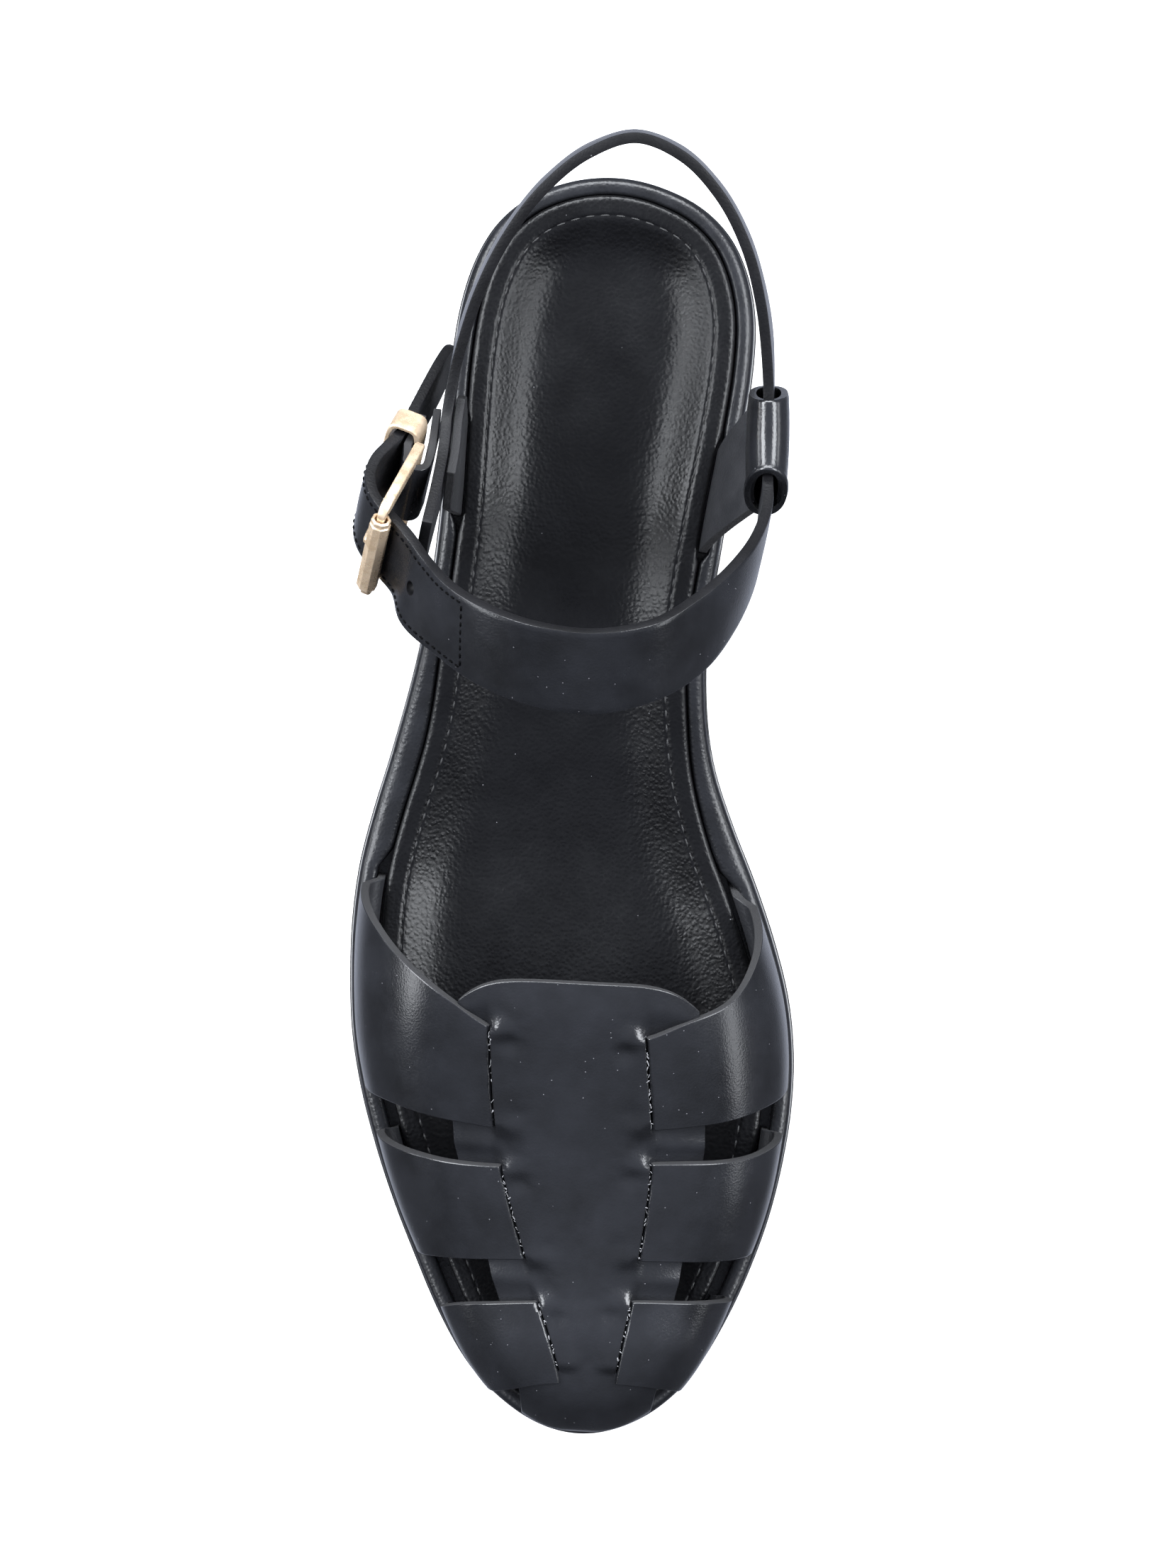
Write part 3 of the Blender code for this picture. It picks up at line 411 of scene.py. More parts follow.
TOP_LIFT = 4.5
BREAST_RADIUS = 73.0
BREAST_MIDDLE = -1.0       # m of the breast's middle
DIAMOND = 2.6              # pitch of the top-lift's diamonds

heel_gloss, tree, shader = smudged("heel_block", 8.0, BLACKS, (0.17, 0.34))
embossed(tree, shader, noise(tree, shoe_place(tree), 5.0, 2.0), 0.08)

diamond_tread, tree, shader = new_finish("diamond_tread", (0.03, 0.031, 0.035), 0.6)
at = shoe_place(tree)
turned = add_node(tree, "Mapping", values=[("Rotation", (0.0, 0.0, math.pi / 4)),
                                           ("Scale", (math.pi / (DIAMOND * MM),) * 3)],
                  links=[("Vector", at)])
parts = add_node(tree, "SeparateXYZ", links=[("Vector", turned.outputs["Vector"])])
lifted = calc(tree, "MULTIPLY", *(calc(tree, "SINE", parts.outputs[axis]) for axis in "XY"))
facing = add_node(tree, "SeparateXYZ", links=[(0, add_node(tree, "NewGeometry").outputs["Normal"])])
faced = calc(tree, "ABSOLUTE", calc(tree, "MULTIPLY", lifted, facing.outputs["Z"]))
paint(tree, shader, faced, (0.012, 0.012, 0.013), (0.035, 0.036, 0.04))
grit = embossed(tree, shader, noise(tree, at, 0.3, 4.0), 0.03)
embossed(tree, shader, ranged(tree, faced, 0.0, 1.0, 0.1, 0.6), 0.35, grit)


def breast_line(m):
    """s of the heel's curved front at m."""
    return HEEL_BREAST + 1.0 + BREAST_RADIUS - math.sqrt(BREAST_RADIUS**2 - (m - BREAST_MIDDLE) ** 2)


def heel_side(side, points=48):
    """One side of the heel's outline, from its back to the breast."""
    end = HEEL_BREAST
    for _ in range(6):     # settles on the corner, where the breast meets the outline
        end = breast_line(edge(end, side))
    stations = [end * (1.0 - math.cos(math.pi / 2 * k / points)) for k in range(1, points + 1)]
    return [Vector((s, edge(s, side))) for s in stations]


medial, lateral = heel_side(1), heel_side(-1)
across = np.linspace(medial[-1].y, lateral[-1].y, 33)[1:-1]
heel_loop = [Vector((0.0, 0.0))] + medial + [Vector((breast_line(m), m)) for m in across] + lateral[::-1]
rings = rise(heel_loop, above(ground, TOP_LIFT + GAP), ((0.9, 0.0), (0.6, 0.1), (0.5, 0.5)))
rings += rise(heel_loop, ground, ((0.35, 9.0), (0.2, 13.5)))
rings += rise(heel_loop, above(shank, -GAP), ((0.2, -0.5), (0.5, 0.0)))
fit(stack("heel_stack", rings, [heel_gloss], capped=True), "heel_block", "heel_block")
rings = rise(heel_loop, ground, (
    (1.3, 0.0), (0.9, 0.08), (0.6, 0.35), (0.5, 0.8), (0.5, 4.0), (0.6, 4.35), (0.9, TOP_LIFT)))
fit(stack("heel_top_lift", rings, [diamond_tread], capped=True), "tread_rubber", "top_lift")


# ---- Midsole and rim ----
# A board whose edge is built up and wrapped in soft leather, so that a rounded rim frames the
# footbed. It is notched where the two tabs come up between the rim and the footbed.

RIM = 6.4                  # height of the wrapped rim above the outsole
PLATE = 1.6
FOOTBED_ROOM = 2.1         # the footbed is set in this much more beside the vamp
MEDIAL_TAB = (56.0, 77.0)  # stretch of the rim that a tab comes up from
LATERAL_TAB = (52.5, 72.0)
HIDE = (0.0045, 0.0047, 0.0054)   # dyed black leather
HIDE_WORN = (0.009, 0.0095, 0.0115)
DUST = (0.11, 0.11, 0.118)

grain, inlet, outlet = effect("hide_grain", [("Pebble", 0.8)], ["Height", "Valleys", "Mottle"])
at = shoe_place(grain)
bent = noise(grain, at, 1.4, 2.0, output="Color")
shifted = add_node(grain, "VectorMath", [("operation", "MULTIPLY_ADD")], [(1, (0.0007,) * 3)],
                   [(0, bent), (2, at)])
cells = add_node(grain, "TexVoronoi", [("feature", "SMOOTH_F1")], [("Smoothness", 0.6)],
                 [("Vector", shifted.outputs[0]),
                  ("Scale", calc(grain, "DIVIDE", 1.0 / MM, inlet.outputs["Pebble"]))])
pores = noise(grain, at, 0.16, 3.0, 0.6)
mottle = noise(grain, at, 11.0, 4.0, 0.6)
domes = ranged(grain, cells.outputs["Distance"], 1.0, 0.0, 0.12, 0.72)
for name, output in (("Height", calc(grain, "MULTIPLY_ADD", pores, 0.2, domes)),
                     ("Valleys", ranged(grain, cells.outputs["Distance"], 0.0, 1.0, 0.25, 0.75)),
                     ("Mottle", ranged(grain, mottle, 0.0, 1.0, 0.3, 0.7))):
    grain.links.new(output, outlet.inputs[name])

dust, inlet, outlet = effect("dust_specks", [("Share", 0.05)], ["Mask"])
flecks = add_node(dust, "TexVoronoi", values=[("Scale", 620.0)], links=[("Vector", shoe_place(dust))])
fleck = calc(dust, "LESS_THAN", flecks.outputs["Distance"], 0.075)
draw = add_node(dust, "SeparateColor", links=[("Color", flecks.outputs["Color"])])
chosen = calc(dust, "LESS_THAN", draw.outputs[0], inlet.outputs["Share"])
dust.links.new(calc(dust, "MULTIPLY", fleck, chosen), outlet.inputs["Mask"])


def leather(name, pebble, depth, gloss, flecked=0.05, low=HIDE, high=HIDE_WORN, shine=0.5):
    """Dyed hide: grain of a given size and depth, uneven gloss, and a little dust."""
    made, tree, shader = new_finish(name, low, gloss[0])
    shader.inputs["Specular IOR Level"].default_value = shine
    relief = add_node(tree, "Group", [("node_tree", grain)], [("Pebble", pebble)])
    specks = add_node(tree, "Group", [("node_tree", dust)], [("Share", flecked)])
    worn = tinted(tree, relief.outputs["Mottle"], low, high)
    dusted = add_node(tree, "Mix", [("data_type", "RGBA")],
                      links=[("Factor", specks.outputs["Mask"]), ("A", worn)])
    dusted.inputs["B"].default_value = (*DUST, 1.0)
    tree.links.new(dusted.outputs["Result"], shader.inputs["Base Color"])
    uneven = calc(tree, "MULTIPLY_ADD", relief.outputs["Valleys"], 0.5, relief.outputs["Mottle"])
    roughen(tree, shader, uneven, *gloss, end=1.5)
    embossed(tree, shader, relief.outputs["Height"], depth)
    return made


def notch(s, side):
    """1 along the stretch of the rim where a tab comes up."""
    start, end = MEDIAL_TAB if side > 0 else LATERAL_TAB
    return smooth(s, start - 2.4, start - 0.4) - smooth(s, end + 0.4, end + 2.4)


def beside_vamp(s, side):
    """1 where the footbed keeps clear of the vamp's feet, fading out along the waist."""
    return smooth(s, 92.0, 120.0) if side < 0 else smooth(s, 108.0, 141.0)


def opened(inset, cleared, follow):
    """An inset of the rim, which gives way to a tab and to the vamp, and follows the footbed between."""
    return lambda s, side: (inset + (cleared - inset) * notch(s, side)
                            + follow * FOOTBED_ROOM * beside_vamp(s, side) * (1.0 - smooth(s, 141.0, 144.0)))


rim_leather = leather("rim_leather", 0.7, 0.03, (0.25, 0.37), 0.05, shine=0.3)
on_outsole = above(top_of_outsole, GAP)
plate_top = above(on_outsole, PLATE)
rings = close_in(sole_loop, 1.6, on_outsole, (1.0, 0.5, 0.0))
rings += rise(sole_loop, on_outsole, [(opened(*openings), up) for *openings, up in (
    (1.1, 1.1, 0.0, 0.15), (0.8, 0.8, 0.0, 0.5), (0.65, 0.65, 0.0, 1.2), (0.6, 0.6, 0.0, 2.2),
    (0.6, 0.6, 0.0, 3.6), (0.7, 0.7, 0.0, 4.6), (0.95, 0.95, 0.05, 5.35), (1.3, 1.3, 0.15, 5.85),
    (1.75, 1.65, 0.3, 6.18), (2.3, 2.0, 0.5, 6.36), (2.9, 2.3, 0.7, 6.4), (3.5, 2.5, 0.85, 6.34),
    (3.95, 2.65, 0.95, 6.16), (4.22, 2.75, 1.0, 5.85), (4.3, 2.8, 1.0, 5.3), (4.3, 2.8, 1.0, PLATE))])
rings += close_in(sole_loop, opened(4.3, 2.8, 1.0), plate_top, (0.5, 1.0))
fit(stack("wrapped_rim", rings, [rim_leather]), "rim_leather", "midsole")


# ---- Footbed ----
# A thin pad of foam under pebbled leather, cupped at the heel, laid inside the rim. Its edge is
# pressed flat and stitched down in a groove all round.

FOOTBED_INSET = 4.5        # its wall, in from the outline
FOOTBED_EDGE = 6.0         # height of its edge above the plate
CUP_DEPTH = 4.6            # at the heel,
CUP_SHALLOWS = ((0.6, 40.0, 110.0), (1.8, 140.0, 205.0))     # and less by this much, from s to s
STITCH_INSET = 4.3         # the stitch line, in from the footbed's own edge
CUP_ROWS = [               # in from the footbed's edge, share of the way down into the cup
    (1.9, -0.015), (2.7, -0.015), (3.4, 0.0), (3.85, 0.02), (4.1, 0.06), (4.3, 0.08), (4.55, 0.07),
    (4.9, 0.09), (5.6, 0.16), (6.6, 0.28), (8.0, 0.45), (9.6, 0.63), (11.3, 0.79), (13.2, 0.91),
    (15.5, 0.98), (18.5, 1.0)]


def footbed_side(s, side):
    """Inset of the footbed's wall."""
    return FOOTBED_INSET + FOOTBED_ROOM * beside_vamp(s, side)


def in_from_side(extra):
    """An inset from the footbed's wall, drawn closer together round the toe."""
    return lambda s, side: (footbed_side(s, side) + extra * (1.0 - 0.3 * smooth(s, 205.0, 255.0))
                            + max(0.8 - extra, 0.0) * notch(s, side))


def cup(depth):
    """Footbed height a given share of the way down into its cup, deepest at the heel."""
    def height(s):
        """The footbed's height at s."""
        hollow = CUP_DEPTH
        for less, start, end in CUP_SHALLOWS:
            hollow -= less * smooth(s, start, end)
        return plate_top(s) + FOOTBED_EDGE - hollow * depth
    return height


def stitch(bm, middle, along, outward, length, width):
    """One stitch: a short rounded bar of thread half sunk in the leather."""
    along = along.normalized()
    side = outward.cross(along).normalized()
    outward = along.cross(side).normalized()
    made = bmesh.ops.create_icosphere(bm, subdivisions=1, radius=1.0)["verts"]
    for v in made:
        v.co = (middle + along * v.co.x * length / 2 * MM + side * v.co.y * width / 2 * MM
                + outward * v.co.z * width / 2 * MM)


def sew(bm, points, outwards, pitch, length, width):
    """Stitches set at an even pitch along a line of points in metres."""
    travelled, due = 0.0, pitch / 2 * MM
    for a, b, outward in zip(points, points[1:], outwards):
        step = (b - a).length
        while step > 0.0 and due <= travelled + step:
            stitch(bm, a.lerp(b, (due - travelled) / step), b - a, outward, length, width)
            due += pitch * MM
        travelled += step


footbed_leather = leather("footbed_leather", 0.8, 0.045, (0.27, 0.37), 0.03, (0.0012, 0.0012, 0.0015),
                          (0.0024, 0.0025, 0.003), 0.22)
bed = above(plate_top, GAP)
rings = close_in(sole_loop, in_from_side(0.0), bed, (1.0, 0.5, 0.0))
rings += rise(sole_loop, bed, [(in_from_side(inset), up) for inset, up in (
    (0.0, 4.3), (0.06, 4.9), (0.22, 5.3), (0.5, 5.58), (0.9, 5.74), (1.4, 5.79))])
rings += [plan_ring(sole_loop, in_from_side(inset), cup(depth)) for inset, depth in CUP_ROWS]
rings += close_in(sole_loop, in_from_side(CUP_ROWS[-1][0]), cup(1.0), (0.3, 0.6, 0.85, 1.0))
footbed = stack("cupped_footbed", rings, [footbed_leather], crease=60.0)
fit(footbed, "footbed_leather", "footbed")


def sewing_thread(name, low, high, shine):
    """Twisted waxed thread, dark between its strands."""
    made, tree, shader = new_finish(name, low, 0.6)
    shader.inputs["Specular IOR Level"].default_value = shine
    strands = add_node(tree, "TexWave", values=[("Scale", 900.0), ("Distortion", 1.0)],
                       links=[("Vector", shoe_place(tree))])
    paint(tree, shader, strands.outputs["Fac"], low, high)
    embossed(tree, shader, strands.outputs["Fac"], 0.05)
    return made


footbed_thread = sewing_thread("footbed_thread", (0.002, 0.002, 0.0025), (0.008, 0.008, 0.009), 0.5)
seam = plan_ring(sole_loop, in_from_side(STITCH_INSET), above(cup(0.1), 0.08))
bm = bmesh.new()
sew(bm, seam + seam[:1], [UP] * len(seam), 3.1, 2.2, 0.5)
fit(make_object("footbed_stitches", bm, [footbed_thread], 80.0), "footbed_leather")


# ---- Vamp ----
# Smooth black leather with raw cut edges: a centre strip with two long slits, and three cross
# straps that ride over its flanges, go in at one slit, under its body, and out at the other.

STRAP = 1.8                # leather
CHANNEL = 5.35             # inset of the channel that the vamp comes up from
FLESH = 3.6                # inset of the inside of the vamp at its widest
WIDEST = 3.0               # height of the widest line above the rim
SIDE_POWER = 2.8           # fullness of the sides
TOE_ROUND = 238.0          # the crown rounds down to the toe from here
TOE_TIP = 6.2
TOE_RADIUS = 25.0
STRIP_RUN = (165.2, 246.0)  # the strip's rear end, and where it turns down to the toe
REAR_ROUND = 4.8           # its rear corners are rounded off by this much,
REAR_FADE = 17.4           # less and less over this length
BODY_LIFT = 0.9            # where a cross strap passes, the strip's body rises by this much,
FLANGE_SINK = 0.8          # and its flanges sink by this much
STRAP_LIFT = 0.95          # a cross strap rides this high over the flanges,
STRAP_DIVE = 1.9           # and dives by this much at a slit
BODY_SHOULDER = (0.5, 6.5)  # the body rises in from its slits over this stretch,
BODY_SETTLES = (236.0, 243.0)      # and less towards the toe
STRAP_OVER = (14.0, 0.6)   # a cross strap climbs onto the flanges from this far outside them,
STRAP_UNDER = (0.7, 0.3)   # and dives through a slit over this much on either side of it
SLIT_PLACE = 0.16          # place round the arch of the slits
SLIT_FADE = (0.5, 0.3)     # the slit, the body's rise and the flanges' sink each start this far
BODY_FADE = (3.0, 0.8)     # before a cross strap's edge, and are whole this far inside it
FLANGE_FADE = (6.0, -0.3)
PUCKER_REACH = 14.0        # round the end of a slit
PUCKER_SIZES = (1.0, 0.8, 0.65)    # at the rear end of each cross strap's slits
PUCKER_FRONT = 0.45        # and this much of it at their front ends
PUCKER = [                 # height, then place and spread across the slit and along it
    (0.42, 1.9, 2.1, 0.4, 2.0), (-0.75, 3.9, 1.7, 3.3, 1.7)]
END_PIT = (0.0, 0.8, -0.8, 1.0)
END_PIT_DEEP = 0.15
WRINKLES = (17.0, 0.07, 5.0, 2.4)  # number, height, reach and spread of the fine ones
STRAP_SWELL = 0.22         # a cross strap's middle stands this much above its edges
FIBRE_COUNTS = (0, 1, 1, 2)        # torn fibres on a face of a slit's wall
FIBRE_LONG, FIBRE_WIDE = (0.3, 1.2), (0.12, 0.3)
FIBRE_OUT, FIBRE_DEEP = (-0.2, 0.3), (-0.05, 0.35)
FIBRE_RUN = (-0.115, -0.045)       # y of the slits in metres
FIBRE_NEAR = 1.5           # how near a slit's line a wall has to be
CROWN = [                  # s, height above the rim, m of the ridge
    (138.0, 50.0, -1.0), (168.0, 43.0, -1.0), (185.0, 36.0, 1.0), (200.0, 30.0, 3.0),
    (215.0, 24.5, 5.0), (230.0, 19.5, 6.5), (243.0, 16.0, 7.0), (262.0, 12.0, 7.0)]
CENTRE_STRIP = [           # s, lateral edge, lateral slit, medial slit, medial edge
    (165.2, -22.2, -16.3, 14.6, 25.1), (172.0, -23.0, -15.9, 14.7, 25.8),
    (199.0, -22.0, -13.0, 17.4, 28.2), (228.0, -12.8, -4.6, 15.4, 24.4),
    (250.0, -6.4, 2.4, 12.4, 21.3), (262.0, -5.0, 2.8, 12.0, 19.8)]
CROSS_STRAPS = [           # place round the arch (-1 lateral, 0 crown, 1 medial), rear, front
    [(-1.3, 147.0, 190.0), (-1.0, 149.0, 190.5), (-0.67, 156.5, 192.0), (-0.46, 163.5, 193.5),
     (-0.26, 170.3, 194.8), (-0.15, 174.8, 195.5), (0.15, 175.5, 194.3), (0.26, 172.5, 193.5),
     (0.46, 168.0, 191.8), (0.67, 160.5, 189.5), (1.0, 150.0, 186.5), (1.3, 144.5, 185.5)],
    [(-1.3, 199.5, 224.5), (-1.0, 200.0, 224.3), (-0.57, 202.3, 223.8), (-0.16, 203.3, 222.8),
     (0.11, 201.6, 222.0), (0.57, 200.0, 221.6), (1.0, 196.5, 221.0), (1.3, 196.0, 221.0)],
    [(-1.3, 235.5, 246.6), (-1.0, 235.3, 250.0), (-0.46, 233.0, 249.8), (-0.11, 231.7, 248.2),
     (0.11, 230.8, 247.8), (0.46, 230.5, 248.2), (1.0, 231.0, 248.8), (1.3, 231.5, 247.0)]]

rim_top = above(on_outsole, RIM)
crown_curve = table_curve(CROWN)
strip_curve = table_curve(CENTRE_STRIP)
cross_curves = [table_curve(rows) for rows in CROSS_STRAPS]


def crown(s):
    """Height of the last's ridge above the rim at s, and m of the ridge."""
    height, ridge = crown_curve(s)
    toe = max(s - TOE_ROUND, 0.0) / (LENGTH - FLESH - TOE_ROUND)
    return height * math.sqrt(max(1.0 - toe * toe, 0.0)), ridge


def last_height(s, m):
    """Height of the last over a plan point of the vamp."""
    height, ridge = crown(s)
    half = abs(edge(s, 1 if m > ridge else -1, FLESH) - ridge)
    reach = min(abs(m - ridge) / max(half, 0.01), 1.0)
    return rim_top(s) + WIDEST + height * (1.0 - reach**SIDE_POWER) ** (1.0 / SIDE_POWER)


def last_side(s, place):
    """A point round the arch at s: 0 is the crown, 1 and -1 the widest, and past them the channel."""
    height, ridge = crown(s)
    side = 1 if place > 0 else -1
    turn = min(abs(place), 1.0) * math.pi / 2
    m = ridge + side * abs(edge(s, side, FLESH) - ridge) * math.sin(turn) ** (2.0 / SIDE_POWER)
    z = rim_top(s) + WIDEST + height * max(math.cos(turn), 0.0) ** (2.0 / SIDE_POWER)
    if abs(place) > 1.0:
        down = (abs(place) - 1.0) / 0.3
        m += ((edge(s, side, CHANNEL + STRAP / 2) - m)
              * smooth(down, 0.0, WIDEST / (RIM + WIDEST - PLATE)))
        z -= down * (RIM + WIDEST - PLATE - GAP)
    return m, z


def sheet(name, across, along, place, thickness, finishes, lift=None, offset=1.0, outward=UP, slit=None):
    """A leather sheet with raw cut edges: a grid laid on a form, slit and lifted, then given its wall.

    The wall rises square to the form that the sheet lies on, from its flesh side to its grain side.
    """
    bm = bmesh.new()
    form = bm.verts.layers.float_vector.new("form")
    bmesh.ops.create_grid(bm, x_segments=across, y_segments=along, size=0.5)
    if slit:
        opened = [line for line in bm.edges if abs(line.verts[0].co.x - line.verts[1].co.x) < 1e-6
                  and slit(round((line.verts[0].co.x + 0.5) * across),
                           (line.verts[0].co.y + line.verts[1].co.y + 1.0) / 2 * along)]
        bmesh.ops.split_edges(bm, edges=opened)
    grid = []
    for v in bm.verts:
        lean = sum(face.calc_center_median().x - v.co.x for face in v.link_faces)
        side = 0 if abs(lean) * across < 0.1 else math.copysign(1, lean)
        grid.append((v, round((v.co.x + 0.5) * across), round((v.co.y + 0.5) * along), side))
    for v, column, row, _ in grid:
        v.co = place(column, row)
    bm.normal_update()
    middle = min(grid, key=lambda entry: abs(entry[1] - across / 2) + abs(entry[2] - along / 2))
    if middle[0].normal.dot(outward) < 0:
        bmesh.ops.reverse_faces(bm, faces=bm.faces)
        bm.normal_update()
    seats = {}
    for v, column, row, _ in grid:
        seats.setdefault((column, row), []).append(v.normal.copy())
    for v, column, row, side in grid:
        v[form] = sum(seats[column, row], Vector()).normalized()
        raised = lift(column, row, side) if lift else 0.0
        v.co += v[form] * (raised + thickness * (offset - 1.0) / 2) * MM
    flesh = bm.faces[:]
    grown = bmesh.ops.extrude_face_region(bm, geom=flesh, use_keep_orig=True)["geom"]
    for item in grown:
        if isinstance(item, bmesh.types.BMVert):
            item.co += item[form] * thickness * MM
    outer = {item for item in grown if isinstance(item, bmesh.types.BMFace)}
    for face in bm.faces:
        face.material_index = 0 if face in outer else 2
    for face in flesh:
        face.material_index = 1
    bmesh.ops.recalc_face_normals(bm, faces=bm.faces)
    made = make_object(name, bm, finishes, 60.0)
    soften(made, 0.22, 50.0)
    return made


def raw_edge(name):
    """Raw cut leather: matte and fibrous."""
    made, tree, shader = new_finish(name, (0.008, 0.008, 0.009), 0.75)
    fibres = noise(tree, shoe_place(tree), 0.25, 5.0, 0.75)
    paint(tree, shader, fibres, (0.003, 0.003, 0.0035), (0.016, 0.016, 0.018))
    roughen(tree, shader, fibres, 0.6, 0.9)
    embossed(tree, shader, fibres, 0.2)
    return made


smooth_hide = leather("smooth_hide", 0.45, 0.014, (0.19, 0.28), 0.2)
lining = leather("lining", 0.6, 0.03, (0.4, 0.55), 0.04, (0.01, 0.0105, 0.0125), (0.017, 0.0175, 0.02))
cut_edge = raw_edge("cut_edge")
strap_finishes = [smooth_hide, lining, cut_edge]


def strap_cover(s, place, fade):
    """1 where a cross strap crosses the strip at s, fading out before its edges."""
    cover, (before, after) = 0.0, fade
    for read in cross_curves:
        rear, front = read(place)
        cover = max(cover, smooth(s, rear - before, rear + after)
                    - smooth(s, front - after, front + before))
    return cover


FLANGE_COLUMNS, BODY_COLUMNS = 9, 26


def strip_columns(s):
    """m of each column across the centre strip: flange, slit, body, slit, flange."""
    outer_l, slit_l, slit_m, outer_m = strip_curve(s)
    return (list(np.linspace(outer_l, slit_l, FLANGE_COLUMNS + 1)[:-1])
            + list(np.linspace(slit_l, slit_m, BODY_COLUMNS + 1)[:-1])
            + list(np.linspace(slit_m, outer_m, FLANGE_COLUMNS + 1)))


FLAT_ROWS, TURN_ROWS, DOWN_ROWS = 98, 26, 4


def strip_station(row):
    """s of a row before the strip turns down to the toe."""
    return STRIP_RUN[0] + (STRIP_RUN[1] - STRIP_RUN[0]) * row / FLAT_ROWS


strip_rows = [strip_columns(strip_station(row)) for row in range(FLAT_ROWS + 1)]
strip_end = strip_columns(LENGTH)
strip_across = len(strip_end) - 1


def toe_end(m, inset):
    """s of the rounded toe at m."""
    return LENGTH - TOE_RADIUS + math.sqrt((TOE_RADIUS - inset) ** 2 - (m - TOE_TIP) ** 2)


def strip_place(column, row):
    """Rows over the crown, rows round the toe, and the last ones down into the channel."""
    rear, toe_start = STRIP_RUN
    drop = RIM + WIDEST - PLATE
    if row <= FLAT_ROWS:
        s, m = strip_station(row), strip_rows[row][column]
        lateral_m, medial_m = strip_rows[row][0], strip_rows[row][-1]
        corner = abs(2.0 * (m - lateral_m) / (medial_m - lateral_m) - 1.0)
        s += REAR_ROUND * corner**5 * max(1.0 - (s - rear) / REAR_FADE, 0.0)
        return world(s, m, last_height(s, m))
    m = strip_rows[-1][column]
    turned = min((row - FLAT_ROWS) / TURN_ROWS, 1.0)
    turn = math.sin(turned * math.pi / 2)
    m += (strip_end[column] - m) * turn
    down = max((row - FLAT_ROWS - TURN_ROWS) / DOWN_ROWS, 0.0)
    inward = (CHANNEL + STRAP / 2 - FLESH) * smooth(down, 0.0, WIDEST / drop)
    s = toe_start + (toe_end(m, FLESH + inward) - toe_start) * turn
    z = last_height(s, m) if turned < 1.0 else rim_top(s) + WIDEST
    return world(s, m, z - down * (drop - 3 * GAP))


def slit_ends():
    """Both ends of the six slits: s, m, the way to the body, the way along the slit, and size."""
    ends = []
    for read, size in zip(cross_curves, PUCKER_SIZES):
        for side in (-1, 1):
            for end, way in ((0, 1), (1, -1)):
                s = read(SLIT_PLACE * side)[end]
                m = strip_curve(s)[1 if side < 0 else 2]
                ends.append((s, m, -side, way, size if way > 0 else PUCKER_FRONT * size))
    return ends


SLIT_ENDS = slit_ends()


def mound(across, along, height, at_m, wide, at_s, long):
    """A soft rise of a given height, place and spread."""
    return height * math.exp(-((across - at_m) / wide) ** 2 - ((along - at_s) / long) ** 2)


def pucker(s, m, on_body):
    """The raised bump, the dimple and the fine wrinkles round the ends of each slit."""
    lifted = 0.0
    number, high, middle, wide = WRINKLES
    for end_s, end_m, inwards, way, size in SLIT_ENDS:
        ds, dm = (s - end_s) * way, (m - end_m) * inwards
        reach = math.hypot(ds, dm)
        if reach > PUCKER_REACH:
            continue
        if on_body:
            for height, *form in PUCKER:
                lifted += mound(dm, ds, size * height, *form)
            fold = math.cos(number * math.atan2(dm, ds) + end_m)
            lifted += size * high * fold * math.exp(-((reach - middle) / wide) ** 2)
        lifted -= mound(dm, ds, size * END_PIT_DEEP, *END_PIT)
    return lifted


def strip_slit(column, row):
    """Whether the strip is cut at a place: two columns are, where a cross strap goes through."""
    if column not in (FLANGE_COLUMNS, FLANGE_COLUMNS + BODY_COLUMNS) or row > FLAT_ROWS:
        return False
    place = -SLIT_PLACE if column == FLANGE_COLUMNS else SLIT_PLACE
    return strap_cover(strip_station(row), place, SLIT_FADE) > 0.5


def strip_lift(column, row, side):
    """How far the strip is lifted off the last; side is the side of a slit that a corner is on."""
    if row > FLAT_ROWS:
        return 0.0
    s, m = strip_station(row), strip_rows[row][column]
    place = SLIT_PLACE * max(min((column / strip_across - 0.5) * 4, 1), -1)
    from_body = min(column - FLANGE_COLUMNS, FLANGE_COLUMNS + BODY_COLUMNS - column)
    inwards = side if column < strip_across / 2 else -side
    toe = 1.0 - smooth(s, STRIP_RUN[1] - 1.6, STRIP_RUN[1])
    if from_body < 0 or (from_body == 0 and inwards < 0):
        return (-FLANGE_SINK * strap_cover(s, place, FLANGE_FADE) + 0.3 * pucker(s, m, False)) * toe
    if from_body == 0 and side == 0:
        return pucker(s, m, False) * toe
    _, slit_l, slit_m, _ = strip_curve(s)
    inner = smooth(min(abs(m - slit_l), abs(m - slit_m)), *BODY_SHOULDER)
    cover = strap_cover(s, place, BODY_FADE) * (1.0 - 0.8 * smooth(s, *BODY_SETTLES) * inner)
    spread = smooth(s, STRIP_RUN[0] - 6.0, STRIP_RUN[0] + 8.0) - smooth(s, 226.0, STRIP_RUN[1])
    return (BODY_LIFT * (cover + (max(spread, cover) - cover) * inner) + pucker(s, m, True)) * toe


strip = sheet("vamp_centre_strip", strip_across, FLAT_ROWS + TURN_ROWS + DOWN_ROWS, strip_place, STRAP,
              strap_finishes, strip_lift, slit=strip_slit)
fit(strip, "upper_leather", "vamp_weave")


def place_of(s, m):
    """The place round the arch that stands over m."""
    _, ridge = crown(s)
    side = 1 if m > ridge else -1
    half = abs(edge(s, side, FLESH) - ridge)
    return side * math.asin(min(abs(m - ridge) / half, 1.0) ** (SIDE_POWER / 2)) * 2 / math.pi


